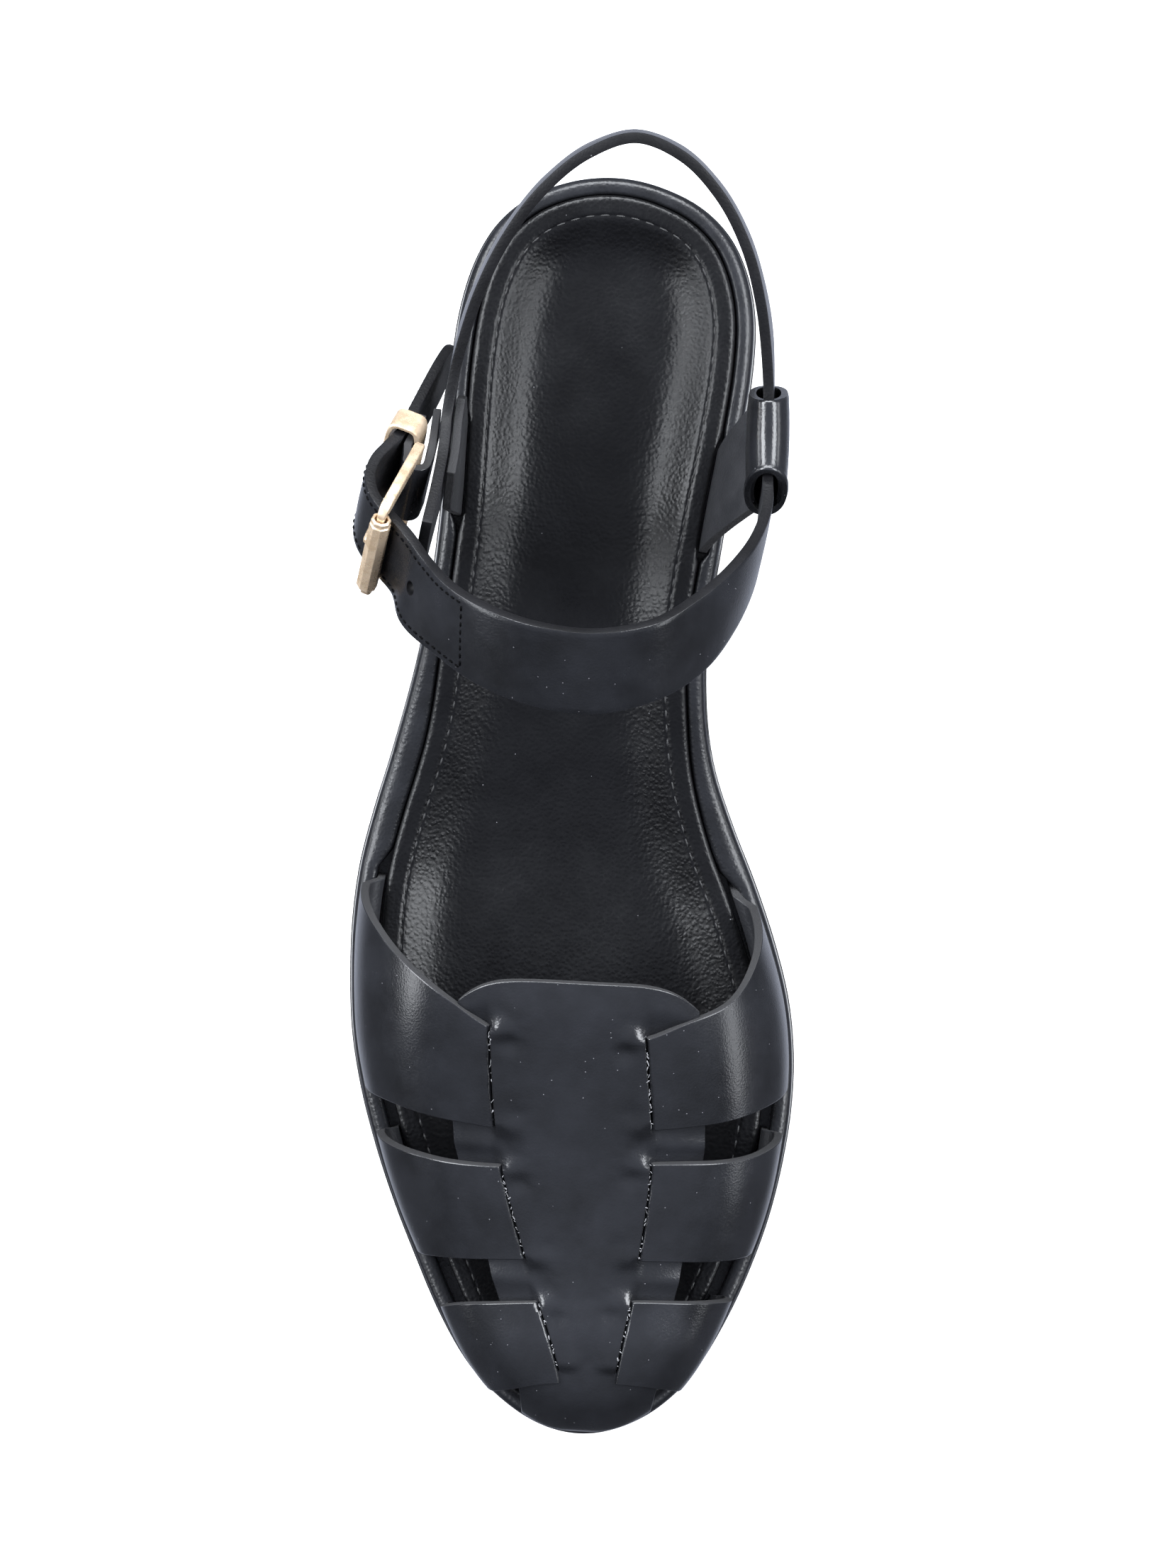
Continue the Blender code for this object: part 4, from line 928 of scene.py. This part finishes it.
def cross_strap(number, read):
    """One cross strap, from channel to channel over the arch."""
    middle = sum(read(0.0)) / 2
    at_l, at_m = (place_of(middle, m) for m in strip_curve(middle)[1:3])
    places = [place for start, end, count in (
        (-1.3, -1.0, 7), (-0.985, at_l - 0.03, 44), (at_l - 0.024, at_l + 0.024, 9),
        (at_l + 0.03, at_m - 0.03, 14), (at_m - 0.024, at_m + 0.024, 9), (at_m + 0.03, 0.985, 44),
        (1.0, 1.3, 7)) for place in np.linspace(start, end, count)]
    rear, front = read(0.6)
    across = int((front - rear) / 1.1)

    def spot(column, row):
        """s, m and z of a corner of the strap before it is woven."""
        back, front = read(places[row])
        s = back + (front - back) * column / across
        return (s, *last_side(s, places[row]))

    def lift(column, row, _):
        """Over the flanges, down at the slits and under the body."""
        s, m, _ = spot(column, row)
        outer_l, slit_l, slit_m, outer_m = strip_curve(s)
        (far, near), (out, into) = STRAP_OVER, STRAP_UNDER
        under = smooth(m, slit_l - out, slit_l + into) - smooth(m, slit_m - into, slit_m + out)
        over = smooth(m, outer_l - far, outer_l - near) - smooth(m, outer_m + near, outer_m + far)
        swell = STRAP_SWELL * math.sin(math.pi * column / across)
        return STRAP_LIFT * over + swell * (1.0 - under) - STRAP_DIVE * under

    strap = sheet(f"cross_strap_{number}", across, len(places) - 1, lambda *at: world(*spot(*at)), STRAP,
                  strap_finishes, lift)
    fit(strap, "upper_leather", "vamp_weave")


for number, read in enumerate(cross_curves, 1):
    cross_strap(number, read)


fibre, tree, shader = new_finish("torn_fibre", (0.12, 0.12, 0.125), 0.9)
at = shoe_place(tree)
paint(tree, shader, noise(tree, at, 0.6), (0.05, 0.05, 0.055), (0.3, 0.3, 0.31))
embossed(tree, shader, noise(tree, at, 0.1), 0.02)
chance = random.Random(11)
bm = bmesh.new()
corners = strip.data.vertices
for face in strip.data.polygons:
    if face.material_index != 2 or not FIBRE_RUN[0] < face.center.y < FIBRE_RUN[1]:
        continue
    s, m = MIDDLE - face.center.y / MM, face.center.x / MM
    _, slit_l, slit_m, _ = strip_curve(s)
    side = -1 if m < crown(s)[1] else 1
    if face.normal.x * side < 0.5 or abs(m - (slit_l if side < 0 else slit_m)) > FIBRE_NEAR:
        continue
    top = sorted((corners[v].co for v in face.vertices), key=lambda co: co.z)[2:]
    for _ in range(chance.choice(FIBRE_COUNTS)):
        start = top[0].lerp(top[1], chance.random())
        start += Vector((side * chance.uniform(*FIBRE_OUT), 0.0, -chance.uniform(*FIBRE_DEEP))) * MM
        turn = chance.gauss(0.0, 0.5) if chance.random() < 0.5 else chance.uniform(-1.5, 1.5)
        along = Vector((math.sin(turn), math.cos(turn), chance.uniform(-0.2, 0.5)))
        stitch(bm, start, along, UP, chance.uniform(*FIBRE_LONG), chance.uniform(*FIBRE_WIDE))
fit(make_object("torn_slit_fibres", bm, [fibre], 80.0), "upper_leather")


# ---- Ankle strap ----
# One strap of doubled leather, stitched from its tip to behind the buckle. It starts as a tongue
# under the buckle, runs round the heel, through the medial loop and back over the instep.

BAND = 2.1                 # doubled leather
STRAP_ROWS = 520
SPARE_HOLE = 1.45          # its radius
HOLE_ROW, HOLE_SHARE = 420, -0.025      # its row along the strap, and its share of the way across
BAND_COLUMNS = 14
BAND_SWELL = 0.16          # the band's middle stands this much above its edges
SEAM_START = 98.3          # s of the seam across the strap, on the lateral side of the instep
SEAM_INSET = 1.5           # the seams along the strap, in from its edges
ANKLE_STRAP = [            # s, m, z, width, tilt of its face above the horizontal in degrees
    (80.5, -33.6, 76.5, 11.5, 0), (72.0, -32.3, 68.8, 12.0, 0), (63.0, -31.2, 61.4, 12.5, 0),
    (55.0, -30.9, 57.6, 12.5, 0), (46.0, -30.0, 58.4, 12.5, 2), (37.0, -28.2, 62.0, 12.5, 6),
    (28.0, -25.2, 66.5, 12.5, 7), (18.0, -20.2, 71.3, 12.5, 8), (9.0, -13.4, 75.6, 12.5, 9.5),
    (2.2, -5.0, 78.3, 12.5, 11), (-0.8, 3.6, 79.2, 12.5, 11), (1.8, 12.4, 78.4, 12.5, 11),
    (8.5, 20.3, 76.0, 12.5, 9.5), (17.5, 26.2, 72.2, 12.5, 8), (27.0, 29.8, 67.6, 12.5, 7),
    (37.0, 32.0, 62.8, 12.5, 6), (47.0, 32.9, 59.2, 12.5, 2), (57.0, 33.2, 58.0, 12.5, 0),
    (66.0, 33.3, 60.2, 12.5, 0), (73.0, 32.9, 65.3, 13.5, 0), (80.0, 31.3, 72.3, 15.0, 10),
    (88.0, 27.3, 81.5, 16.8, 24), (96.0, 20.6, 91.5, 17.8, 40), (102.0, 11.5, 99.5, 18.0, 50),
    (104.6, 0.5, 103.0, 18.0, 58), (103.6, -10.5, 101.5, 18.0, 55), (100.3, -20.5, 96.2, 18.0, 48),
    (95.0, -29.1, 88.8, 17.3, 42), (90.0, -34.6, 83.4, 16.8, 40)]
BUCKLE_AT = Vector((68.7, -37.1, 64.3))       # middle of the buckle's rear bar
BUCKLE_ALONG = Vector((16.3, -6.9, 16.0)).normalized()
BUCKLE_ACROSS = Vector((15.2, -3.6, -16.0))
BUCKLE_ACROSS = (BUCKLE_ACROSS - BUCKLE_ALONG * BUCKLE_ACROSS.dot(BUCKLE_ALONG)).normalized()
BUCKLE_OUT = BUCKLE_ACROSS.cross(BUCKLE_ALONG)
BUCKLE_RUN = [             # along the buckle, outwards, width
    (20.6, -5.6, 16.6), (18.1, -1.9, 16.4), (16.0, 1.3, 16.2), (13.2, 4.4, 16.0), (9.5, 6.5, 16.0),
    (4.0, 7.3, 16.0), (-0.5, 6.5, 16.0), (-4.5, 5.7, 15.8), (-9.0, 5.45, 15.8), (-14.0, 5.55, 15.8),
    (-21.0, 5.7, 15.8), (-29.0, 5.8, 15.2), (-34.5, 5.8, 12.5), (-38.5, 5.8, 6.5)]


def buckle_point(along, across, out):
    """A point of the buckle's own axes in the last's measures."""
    return BUCKLE_AT + BUCKLE_ALONG * along + BUCKLE_ACROSS * across + BUCKLE_OUT * out


def face_normal(tangent, tilt):
    """The outward face of a band that runs along a tangent, tilted upwards by some degrees."""
    flat = UP.cross(tangent).normalized()
    up = flat.cross(tangent).normalized()
    if up.z < 0:
        up = -up
    angle = math.radians(tilt)
    return flat * math.cos(angle) + up * math.sin(angle)


def strap_path(steps):
    """Even rows along the ankle strap: centre, outward normal, direction down across it, width."""
    rows = [(Vector(row[:3]), row[3], row[4]) for row in ANKLE_STRAP]
    rows += [(buckle_point(along, 0.0, out), width, None) for along, out, width in BUCKLE_RUN]
    centres = np.array([tuple(row[0]) for row in rows])
    lengths = np.concatenate([[0.0], np.cumsum(np.linalg.norm(np.diff(centres, axis=0), axis=1))])
    normals = []
    for (_, _, tilt), tangent in zip(rows, np.gradient(centres, lengths, axis=0)):
        tangent = Vector(tangent).normalized()
        normal = tangent.cross(BUCKLE_ACROSS) if tilt is None else face_normal(tangent, tilt)
        if tilt is None and normal.dot(BUCKLE_OUT) < 0:
            normal = -normal
        normals.append(tuple(normal))
    read = table_curve([tuple(row) for row in np.column_stack(
        [lengths, centres, np.array(normals), [row[1] for row in rows]])])
    path = []
    for length in np.linspace(0.0, lengths[-1], steps + 1):
        row = read(length)
        ahead, behind = read(min(length + 0.5, lengths[-1]))[:3], read(max(length - 0.5, 0.0))[:3]
        tangent = Vector(ahead - behind).normalized()
        normal = Vector(row[3:6])
        normal = (normal - tangent * normal.dot(tangent)).normalized()
        path.append((Vector(row[:3]), normal, normal.cross(tangent), row[6]))
    return path


path = strap_path(STRAP_ROWS)


def strap_at(s, medial):
    """The strap's row nearest to s, on the medial side or on the tongue's stretch of the lateral."""
    half = len(path) // 2
    rows = path[half // 2:half + half // 3] if medial else path[:half // 2]
    return min((row for row in rows if (row[0].y > 0) == medial), key=lambda row: abs(row[0].x - s))


def on_strap(row, across, out=0.0):
    """A point of the strap: a share of its width across, and a distance off its middle layer."""
    centre, normal, down, width = path[row]
    return centre + down * width * across + normal * out


def rounded_loop(centre, normal, down, depth, height, power, count):
    """Points round a band's opening, fuller than an ellipse."""
    points = []
    for k in range(count):
        turn = 2.0 * math.pi * k / count
        x = math.copysign(abs(math.cos(turn)) ** (2.0 / power), math.cos(turn)) * depth
        y = math.copysign(abs(math.sin(turn)) ** (2.0 / power), math.sin(turn)) * height
        points.append(world(*(centre + normal * x + down * y)))
    return points


def outward(row):
    """The way that the strap's face looks at a row."""
    return world(*path[row][1]) - world(0, 0, 0)


painted_edge = leather("painted_edge", 0.5, 0.03, (0.42, 0.6), 0.03, (0.003, 0.003, 0.0034),
                       (0.005, 0.005, 0.006), 0.16)
band = sheet("ankle_band", BAND_COLUMNS, STRAP_ROWS,
             lambda column, row: world(*on_strap(row, column / BAND_COLUMNS - 0.5)), BAND,
             [smooth_hide, lining, painted_edge],
             lambda column, row, _: BAND_SWELL * math.sin(math.pi * column / BAND_COLUMNS),
             0.0, outward(STRAP_ROWS // 2))
fit(band, "upper_leather", "ankle_strap")

_, normal, down, _ = path[HOLE_ROW]
rings = [rounded_loop(on_strap(HOLE_ROW, HOLE_SHARE, out), down, down.cross(normal), SPARE_HOLE,
                      SPARE_HOLE, 2.0, 24) for out in (-2.5, 2.5)]
cut(band, stack("spare_hole_punch", rings, [painted_edge], capped=True))

seam_row = min(range(STRAP_ROWS * 2 // 3, STRAP_ROWS), key=lambda row: abs(path[row][0].x - SEAM_START)
               + (0 if path[row][0].y < -15 else 99))
seam_rows = range(seam_row, STRAP_ROWS - 4)
bm = bmesh.new()
for side in (-1, 1):
    line = [world(*on_strap(row, side * (0.5 - SEAM_INSET / path[row][3]), BAND / 2 + 0.05))
            for row in seam_rows]
    sew(bm, line, [outward(row) for row in seam_rows], 1.8, 1.3, 0.55)
line = [world(*on_strap(seam_row, share, BAND / 2 + 0.14)) for share in np.linspace(-0.4, 0.4, 12)]
sew(bm, line, [outward(seam_row)] * len(line), 1.8, 1.35, 0.5)
# The strap's thread is toned nearly black with almost no sheen: painted shade of the holes that its stitches
# sit in.
strap_thread_painted_shade = sewing_thread("strap_thread_painted_shade", (0.0003, 0.0003, 0.0004), (0.0012, 0.0012, 0.0014), 0.04)
fit(make_object("strap_stitches", bm, [strap_thread_painted_shade], 80.0), "upper_leather")


# ---- Medial loop ----
# A panel of upper leather that comes up between rim and footbed, is folded over the ankle strap
# as a padded sleeve, and is sewn to itself below.

SLEEVE = (46.0, 66.0)      # stretch of the strap that the sleeve wraps
SLEEVE_HALF = (2.4, 7.2)   # half depth and half height of its inside
SLEEVE_WALL = 1.6
TAB_CHANNEL = 3.9          # inset of the channel that a tab comes up from
PANEL_ACROSS, PANEL_UP = 16, 24
LIP_AT = 0.2               # share of a panel's rows below the footbed's edge


def sleeve_ring(share, out):
    """A ring round the strap, a share of the way along the sleeve."""
    centre, normal, down, _ = strap_at(between(SLEEVE, share), True)
    return rounded_loop(centre, normal, down, SLEEVE_HALF[0] + out, SLEEVE_HALF[1] + out, 2.2, 64)


inside = [sleeve_ring(share, 0.0) for share in np.linspace(0.03, 0.97, 10)]
front_lip = [sleeve_ring(share, out) for share, out in (
    (0.99, 0.12), (1.01, 0.45), (1.02, 0.95), (1.015, 1.5), (1.0, 1.85), (0.98, 2.05), (0.955, 2.0),
    (0.935, 1.7))]
outside = [sleeve_ring(share, SLEEVE_WALL + 0.35 * math.sin(math.pi * share))
           for share in np.linspace(0.92, 0.05, 18)]
rear_lip = [sleeve_ring(share, out) for share, out in (
    (0.02, 1.45), (0.005, 1.15), (0.0, 0.75), (0.003, 0.35), (0.012, 0.1))]
rings = inside + front_lip + outside + rear_lip + inside[:1]
fit(stack("medial_sleeve", rings, [smooth_hide], crease=70.0), "upper_leather", "medial_tab")


def tab_foot(stretch, side, share):
    """The foot of a tab in its channel, and the footbed's edge above it."""
    s = between(stretch, share)
    bottom = Vector((s, edge(s, side, TAB_CHANNEL), plate_top(s) + GAP))
    return bottom, Vector((s, bottom.y, plate_top(s) + FOOTBED_EDGE + GAP))


def medial_panel(column, row):
    """Straight up past the footbed, then in a slight bow to the foot of the sleeve."""
    u, w = column / PANEL_ACROSS, row / PANEL_UP
    bottom, lip = tab_foot(MEDIAL_TAB, 1, u)
    centre, _, down, _ = strap_at(between(SLEEVE, 0.04 + 0.92 * u), True)
    top = centre + down * (SLEEVE_HALF[1] + SLEEVE_WALL * 0.45)
    if w < LIP_AT:
        return world(*(bottom + (lip - bottom) * (w / LIP_AT)))
    climb = (w - LIP_AT) / (1.0 - LIP_AT)
    point = lip + (top - lip) * climb
    point.y = lip.y + (top.y - lip.y) * climb**1.25
    return world(*point)


panel = sheet("medial_panel", PANEL_ACROSS, PANEL_UP, medial_panel, STRAP, strap_finishes, None, 0.0,
              Vector((1, 0, 0)))
fit(panel, "upper_leather", "medial_tab")


# ---- Lateral tab ----
# The matching panel on the lateral side, sewn flat behind the slingback under the buckle.

LATERAL_TOP = (50.0, 68.5)  # stretch of the slingback that it is sewn to
BEND_AT = 0.7              # share of its rows below the slingback


def lateral_panel(column, row):
    """Straight up past the footbed, over to the slingback, and flat behind it."""
    u, w = column / PANEL_ACROSS, row / PANEL_UP
    bottom, lip = tab_foot(LATERAL_TAB, -1, u)
    centre, normal, down, width = strap_at(between(LATERAL_TOP, u), False)
    inner = centre - normal * (BAND / 2 + GAP + STRAP / 2)
    low, high = inner + down * width * 0.5, inner - down * width * 0.36
    for start, end, a, b in ((0.0, LIP_AT, bottom, lip), (LIP_AT, BEND_AT, lip, low),
                             (BEND_AT, 1.0, low, high)):
        if w < end or end == 1.0:
            return world(*(a + (b - a) * ((w - start) / (end - start))))


panel = sheet("lateral_panel", PANEL_ACROSS, PANEL_UP, lateral_panel, STRAP, strap_finishes, None, 0.0,
              Vector((-1, 0, 0)))
fit(panel, "upper_leather", "lateral_tab")


# ---- Chape ----
# A short doubled piece of the same leather, folded round the buckle's rear bar and sewn to the slingback.

CHAPE = 1.6
CHAPE_WIDE = 14.6
CHAPE_COLUMNS = 12
CHAPE_FOLD = 1.0 + GAP + CHAPE / 2     # radius of the fold's middle round the rear bar
CHAPE_LINE = [             # along the buckle and outwards: inner leaf, fold, outer leaf
    (-16.0, 0.7), (-12.0, 0.0), (-9.5, -0.4), (-7.0, -0.8), (-3.5, -1.8),
    *((CHAPE_FOLD * math.sin(turn), -CHAPE_FOLD * math.cos(turn)) for turn in np.linspace(0.0, math.pi, 15)),
    (-3.2, 3.25), (-7.0, 3.35), (-10.0, 3.4), (-12.5, 3.45)]


def chape_place(column, row):
    """A corner of the chape, kept clear of the slingback that it is sewn to."""
    along, out = CHAPE_LINE[row]
    point = buckle_point(along, CHAPE_WIDE * (column / CHAPE_COLUMNS - 0.5), out)
    seat = strap_at(point.x, False)[0].y - (BAND + CHAPE) / 2 - GAP
    point.y = min(point.y, seat)
    return world(*point)


chape = sheet("folded_chape", CHAPE_COLUMNS, len(CHAPE_LINE) - 1, chape_place, CHAPE, strap_finishes, None,
              0.0, world(*BUCKLE_ALONG) - world(0, 0, 0))
fit(chape, "upper_leather", "buckle_chape")


# ---- Buckle ----
# A polished pale gold buckle: a cast frame with flattened rails, a roller on its front bar, a
# prong round its rear bar, and a bent flat keeper for the strap's tip.

BUCKLE_LONG = 21.0
BUCKLE_HALF = 22.5 / 2     # half its width
BUCKLE_CORNER = 1.45
CORNER_STEPS = 8
BAR, RAIL, PRONG = 1.0, 1.35, 0.75      # radii
RAIL_DEEP, RAIL_HIGH = 0.76, 0.92       # shares of the radius that the flat-sided frame keeps
ROLLER_TURN = 0.4          # the roller's eight flats are turned by this much
ROLLER_SHARE = 0.93
KEEPER_AT, KEEPER_OUT = -7.0, 4.85
KEEPER_END, KEEPER_DEEP, KEEPER_HIGH = 2.75, 2.7, 9.0   # half length, half depth, half height
KEEPER_WALL = 0.9

gold, tree, shader = smudged("pale_gold", 3.0, ((0.7, 0.52, 0.34), (0.84, 0.67, 0.49)), (0.22, 0.36), 0.75)
fine = add_node(tree, "Mapping", values=[("Scale", (900.0, 5200.0, 2600.0))],
                links=[("Vector", shoe_place(tree))])
brushed = add_node(tree, "TexNoise", values=[("Scale", 1.0), ("Detail", 3.0)],
                   links=[("Vector", fine.outputs["Vector"])])
embossed(tree, shader, brushed.outputs["Fac"], 0.003)


def bevelled_loop(centre, normal, down, depth, height, corner=0.36, steps=3):
    """Points round a flat-sided bar whose corners are rounded off."""
    points = []
    for quarter, (x, y) in enumerate(((1, 1), (-1, 1), (-1, -1), (1, -1))):
        for step in range(steps + 1):
            turn = (quarter + step / steps) * math.pi / 2
            across = x * (depth - corner) + math.cos(turn) * corner
            upright = y * (height - corner) + math.sin(turn) * corner
            points.append(world(*(centre + normal * across + down * upright)))
    return points


points, radii = [], []
for number, (along, side) in enumerate(((0.0, -1), (BUCKLE_LONG, -1), (BUCKLE_LONG, 1), (0.0, 1))):
    along += BUCKLE_CORNER * (1 if along == 0 else -1)
    across = side * (BUCKLE_HALF - BUCKLE_CORNER)
    for step in range(CORNER_STEPS + 1):
        turn = math.pi + (number + step / CORNER_STEPS) * math.pi / 2
        points.append(buckle_point(along + BUCKLE_CORNER * math.cos(turn),
                                   across + BUCKLE_CORNER * math.sin(turn), 0.0))
        on_rail = step if number % 2 == 0 else CORNER_STEPS - step
        radii.append(BAR + (RAIL - BAR) * on_rail / CORNER_STEPS)
rings = []
for i, point in enumerate(points):
    tangent = (points[(i + 1) % len(points)] - points[i - 1]).normalized()
    rings.append(bevelled_loop(point, BUCKLE_OUT, tangent.cross(BUCKLE_OUT), radii[i] * RAIL_DEEP,
                               radii[i] * RAIL_HIGH))
fit(stack("buckle_loop", rings + rings[:1], [gold], crease=28.0), "buckle_metal", "buckle_frame")

reach = BUCKLE_HALF - BUCKLE_CORNER - GAP
ROLLER_PROFILE = [         # across the buckle, radius
    (-reach, 1.35), (-reach, 1.8), (-reach + 0.18, 1.98), (-reach + 0.9, 2.0), (-reach + 1.0, 1.84),
    (-reach + 1.25, 1.84), (-reach + 1.4, 2.12), (0.0, 2.15), (reach - 0.35, 2.12), (reach, 1.85),
    (reach, 1.35), (-reach, 1.35)]
rings = [rounded_loop(buckle_point(BUCKLE_LONG, across, 0.0), BUCKLE_OUT + BUCKLE_ALONG * ROLLER_TURN,
                      BUCKLE_ALONG - BUCKLE_OUT * ROLLER_TURN, radius * ROLLER_SHARE,
                      radius * ROLLER_SHARE, 2.0, 8) for across, radius in ROLLER_PROFILE]
roller = stack("front_roller", rings, [gold], crease=20.0)
soften(roller, 0.12, 30.0)
fit(roller, "buckle_metal", "buckle_roller")

hook = BAR + GAP + PRONG
rest = 2.1 + GAP + PRONG   # the prong's middle above the roller's
prong = [buckle_point(-hook * math.sin(turn), 0.0, -hook * math.cos(turn))
         for turn in np.linspace(-0.6, math.pi, 14)]
prong += [buckle_point(along, 0.0, out) for along, out in (
    (2.5, 2.2), (5.0, 2.4), (9.0, 2.5), (12.0, 2.6), (15.0, 2.7),
    (BUCKLE_LONG - rest * 0.62 - 1.0, rest * 0.8), (BUCKLE_LONG - rest * 0.62, rest * 0.82))]
rings, normal = [], BUCKLE_ACROSS
for i, radius in enumerate([PRONG] * (len(prong) - 2) + [0.72, 0.45]):
    tangent = (prong[min(i + 1, len(prong) - 1)] - prong[max(i - 1, 0)]).normalized()
    normal = (normal - tangent * normal.dot(tangent)).normalized()
    rings.append(rounded_loop(prong[i], normal, tangent.cross(normal), radius, radius, 2.0, 16))
fit(stack("prong_pin", rings, [gold], capped=True), "buckle_metal", "buckle_prong")

KEEPER_PROFILE = [         # along the strap, outwards
    (-KEEPER_END + 0.15, 0.0), (KEEPER_END - 0.15, 0.0), (KEEPER_END, 0.15),
    (KEEPER_END, KEEPER_WALL - 0.25), (KEEPER_END - 0.25, KEEPER_WALL), (0.0, KEEPER_WALL + 0.05),
    (-KEEPER_END + 0.25, KEEPER_WALL), (-KEEPER_END, KEEPER_WALL - 0.25), (-KEEPER_END, 0.15),
    (-KEEPER_END + 0.15, 0.0)]
rings = [rounded_loop(buckle_point(KEEPER_AT + along, 0.0, KEEPER_OUT), BUCKLE_OUT, BUCKLE_ACROSS,
                      KEEPER_DEEP + out, KEEPER_HIGH + out, 5.0, 56) for along, out in KEEPER_PROFILE]
fit(stack("flat_keeper", rings, [gold], crease=30.0), "buckle_metal", "strap_keeper")


# ---- Floor, light and camera ----
# A plain white lit table, brightest under the shoe, in a room that is bright overhead and dark near
# the horizon. Softboxes light the heel's half from both sides and from behind, and two low ones
# give the sides of the shoe a soft edge.

TABLE = 4.0                # half its width in metres
TABLE_GLOW = (0.8, 0.04), (0.18, 0.5)   # glow, and the distances from the middle it runs between
ROOM_TINT = (0.86, 0.92, 1.1)
OVERHEAD = (0.12, 0.63), (0.25, 0.8)    # glow of the room, and the heights that it runs between
UNDERFOOT = (0.6, 0.0), (-0.97, -0.8)
LAMP_TINT = (0.93, 0.96, 1.0)
SOFTBOXES = [              # name, place in metres, length and height, watts
    ("left_softbox", (-0.88, 0.22, 0.88), (1.1, 0.6), 37.0),
    ("right_softbox", (0.88, 0.22, 0.88), (1.1, 0.6), 33.0),
    ("back_softbox", (-0.05, 1.0, 0.7), (1.1, 0.45), 34.0),
    ("low_left_softbox", (-1.1, -0.05, 0.16), (1.0, 0.25), 6.0),
    ("low_right_softbox", (1.1, -0.05, 0.16), (1.0, 0.25), 4.0)]

floor_tone, tree, shader = new_finish("lit_table", (0.5, 0.5, 0.5), 0.9)
at = shoe_place(tree)
paint(tree, shader, noise(tree, at, 60.0), (0.48, 0.48, 0.48), (0.52, 0.52, 0.52))
away = add_node(tree, "VectorMath", [("operation", "LENGTH")], links=[(0, at)])
tree.links.new(ranged(tree, away.outputs["Value"], *TABLE_GLOW[0], *TABLE_GLOW[1]),
               shader.inputs["Emission Strength"])
shader.inputs["Emission Color"].default_value = (1.0, 1.0, 1.0, 1.0)
bm = bmesh.new()
bmesh.ops.create_grid(bm, x_segments=8, y_segments=8, size=TABLE)
bmesh.ops.translate(bm, verts=bm.verts, vec=(0.0, 0.0, -0.2 * MM))
floor = make_object("lit_table", bm, [floor_tone])
floor.visible_glossy = False

room = bpy.data.worlds.new("studio")
room.use_nodes = True
tree = room.node_tree
background = tree.nodes["Background"]
background.inputs["Color"].default_value = (*ROOM_TINT, 1.0)
height = add_node(tree, "SeparateXYZ", links=[(0, add_node(tree, "TexCoord").outputs["Generated"])])
glow = calc(tree, "ADD", *(ranged(tree, height.outputs["Z"], *levels, *heights)
                           for levels, heights in (OVERHEAD, UNDERFOOT)))
glow = calc(tree, "MAXIMUM", glow, add_node(tree, "LightPath").outputs["Is Camera Ray"])
tree.links.new(glow, background.inputs["Strength"])
bpy.context.scene.world = room

for name, place, (long, high), power in SOFTBOXES:
    lamp = bpy.data.lights.new(name, "AREA")
    lamp.shape = "RECTANGLE"
    lamp.size, lamp.size_y = long, high
    lamp.energy = power
    lamp.color = LAMP_TINT
    softbox = bpy.data.objects.new(name, lamp)
    softbox.location = place
    softbox.rotation_euler = (Vector((0.0, 0.0, 0.03)) - Vector(place)).to_track_quat("-Z", "Y").to_euler()
    bpy.context.collection.objects.link(softbox)

camera = bpy.data.objects.new("camera", bpy.data.cameras.new("camera"))
camera.data.sensor_fit = "VERTICAL"
camera.data.sensor_height = 24.0
camera.data.lens = 73.6
camera.location = (0.001, 0.0046, 1.018)
camera.rotation_euler = (0.0, 0.0, math.radians(3.03))
bpy.context.collection.objects.link(camera)
bpy.context.scene.camera = camera
bpy.context.scene.view_settings.view_transform = "Standard"
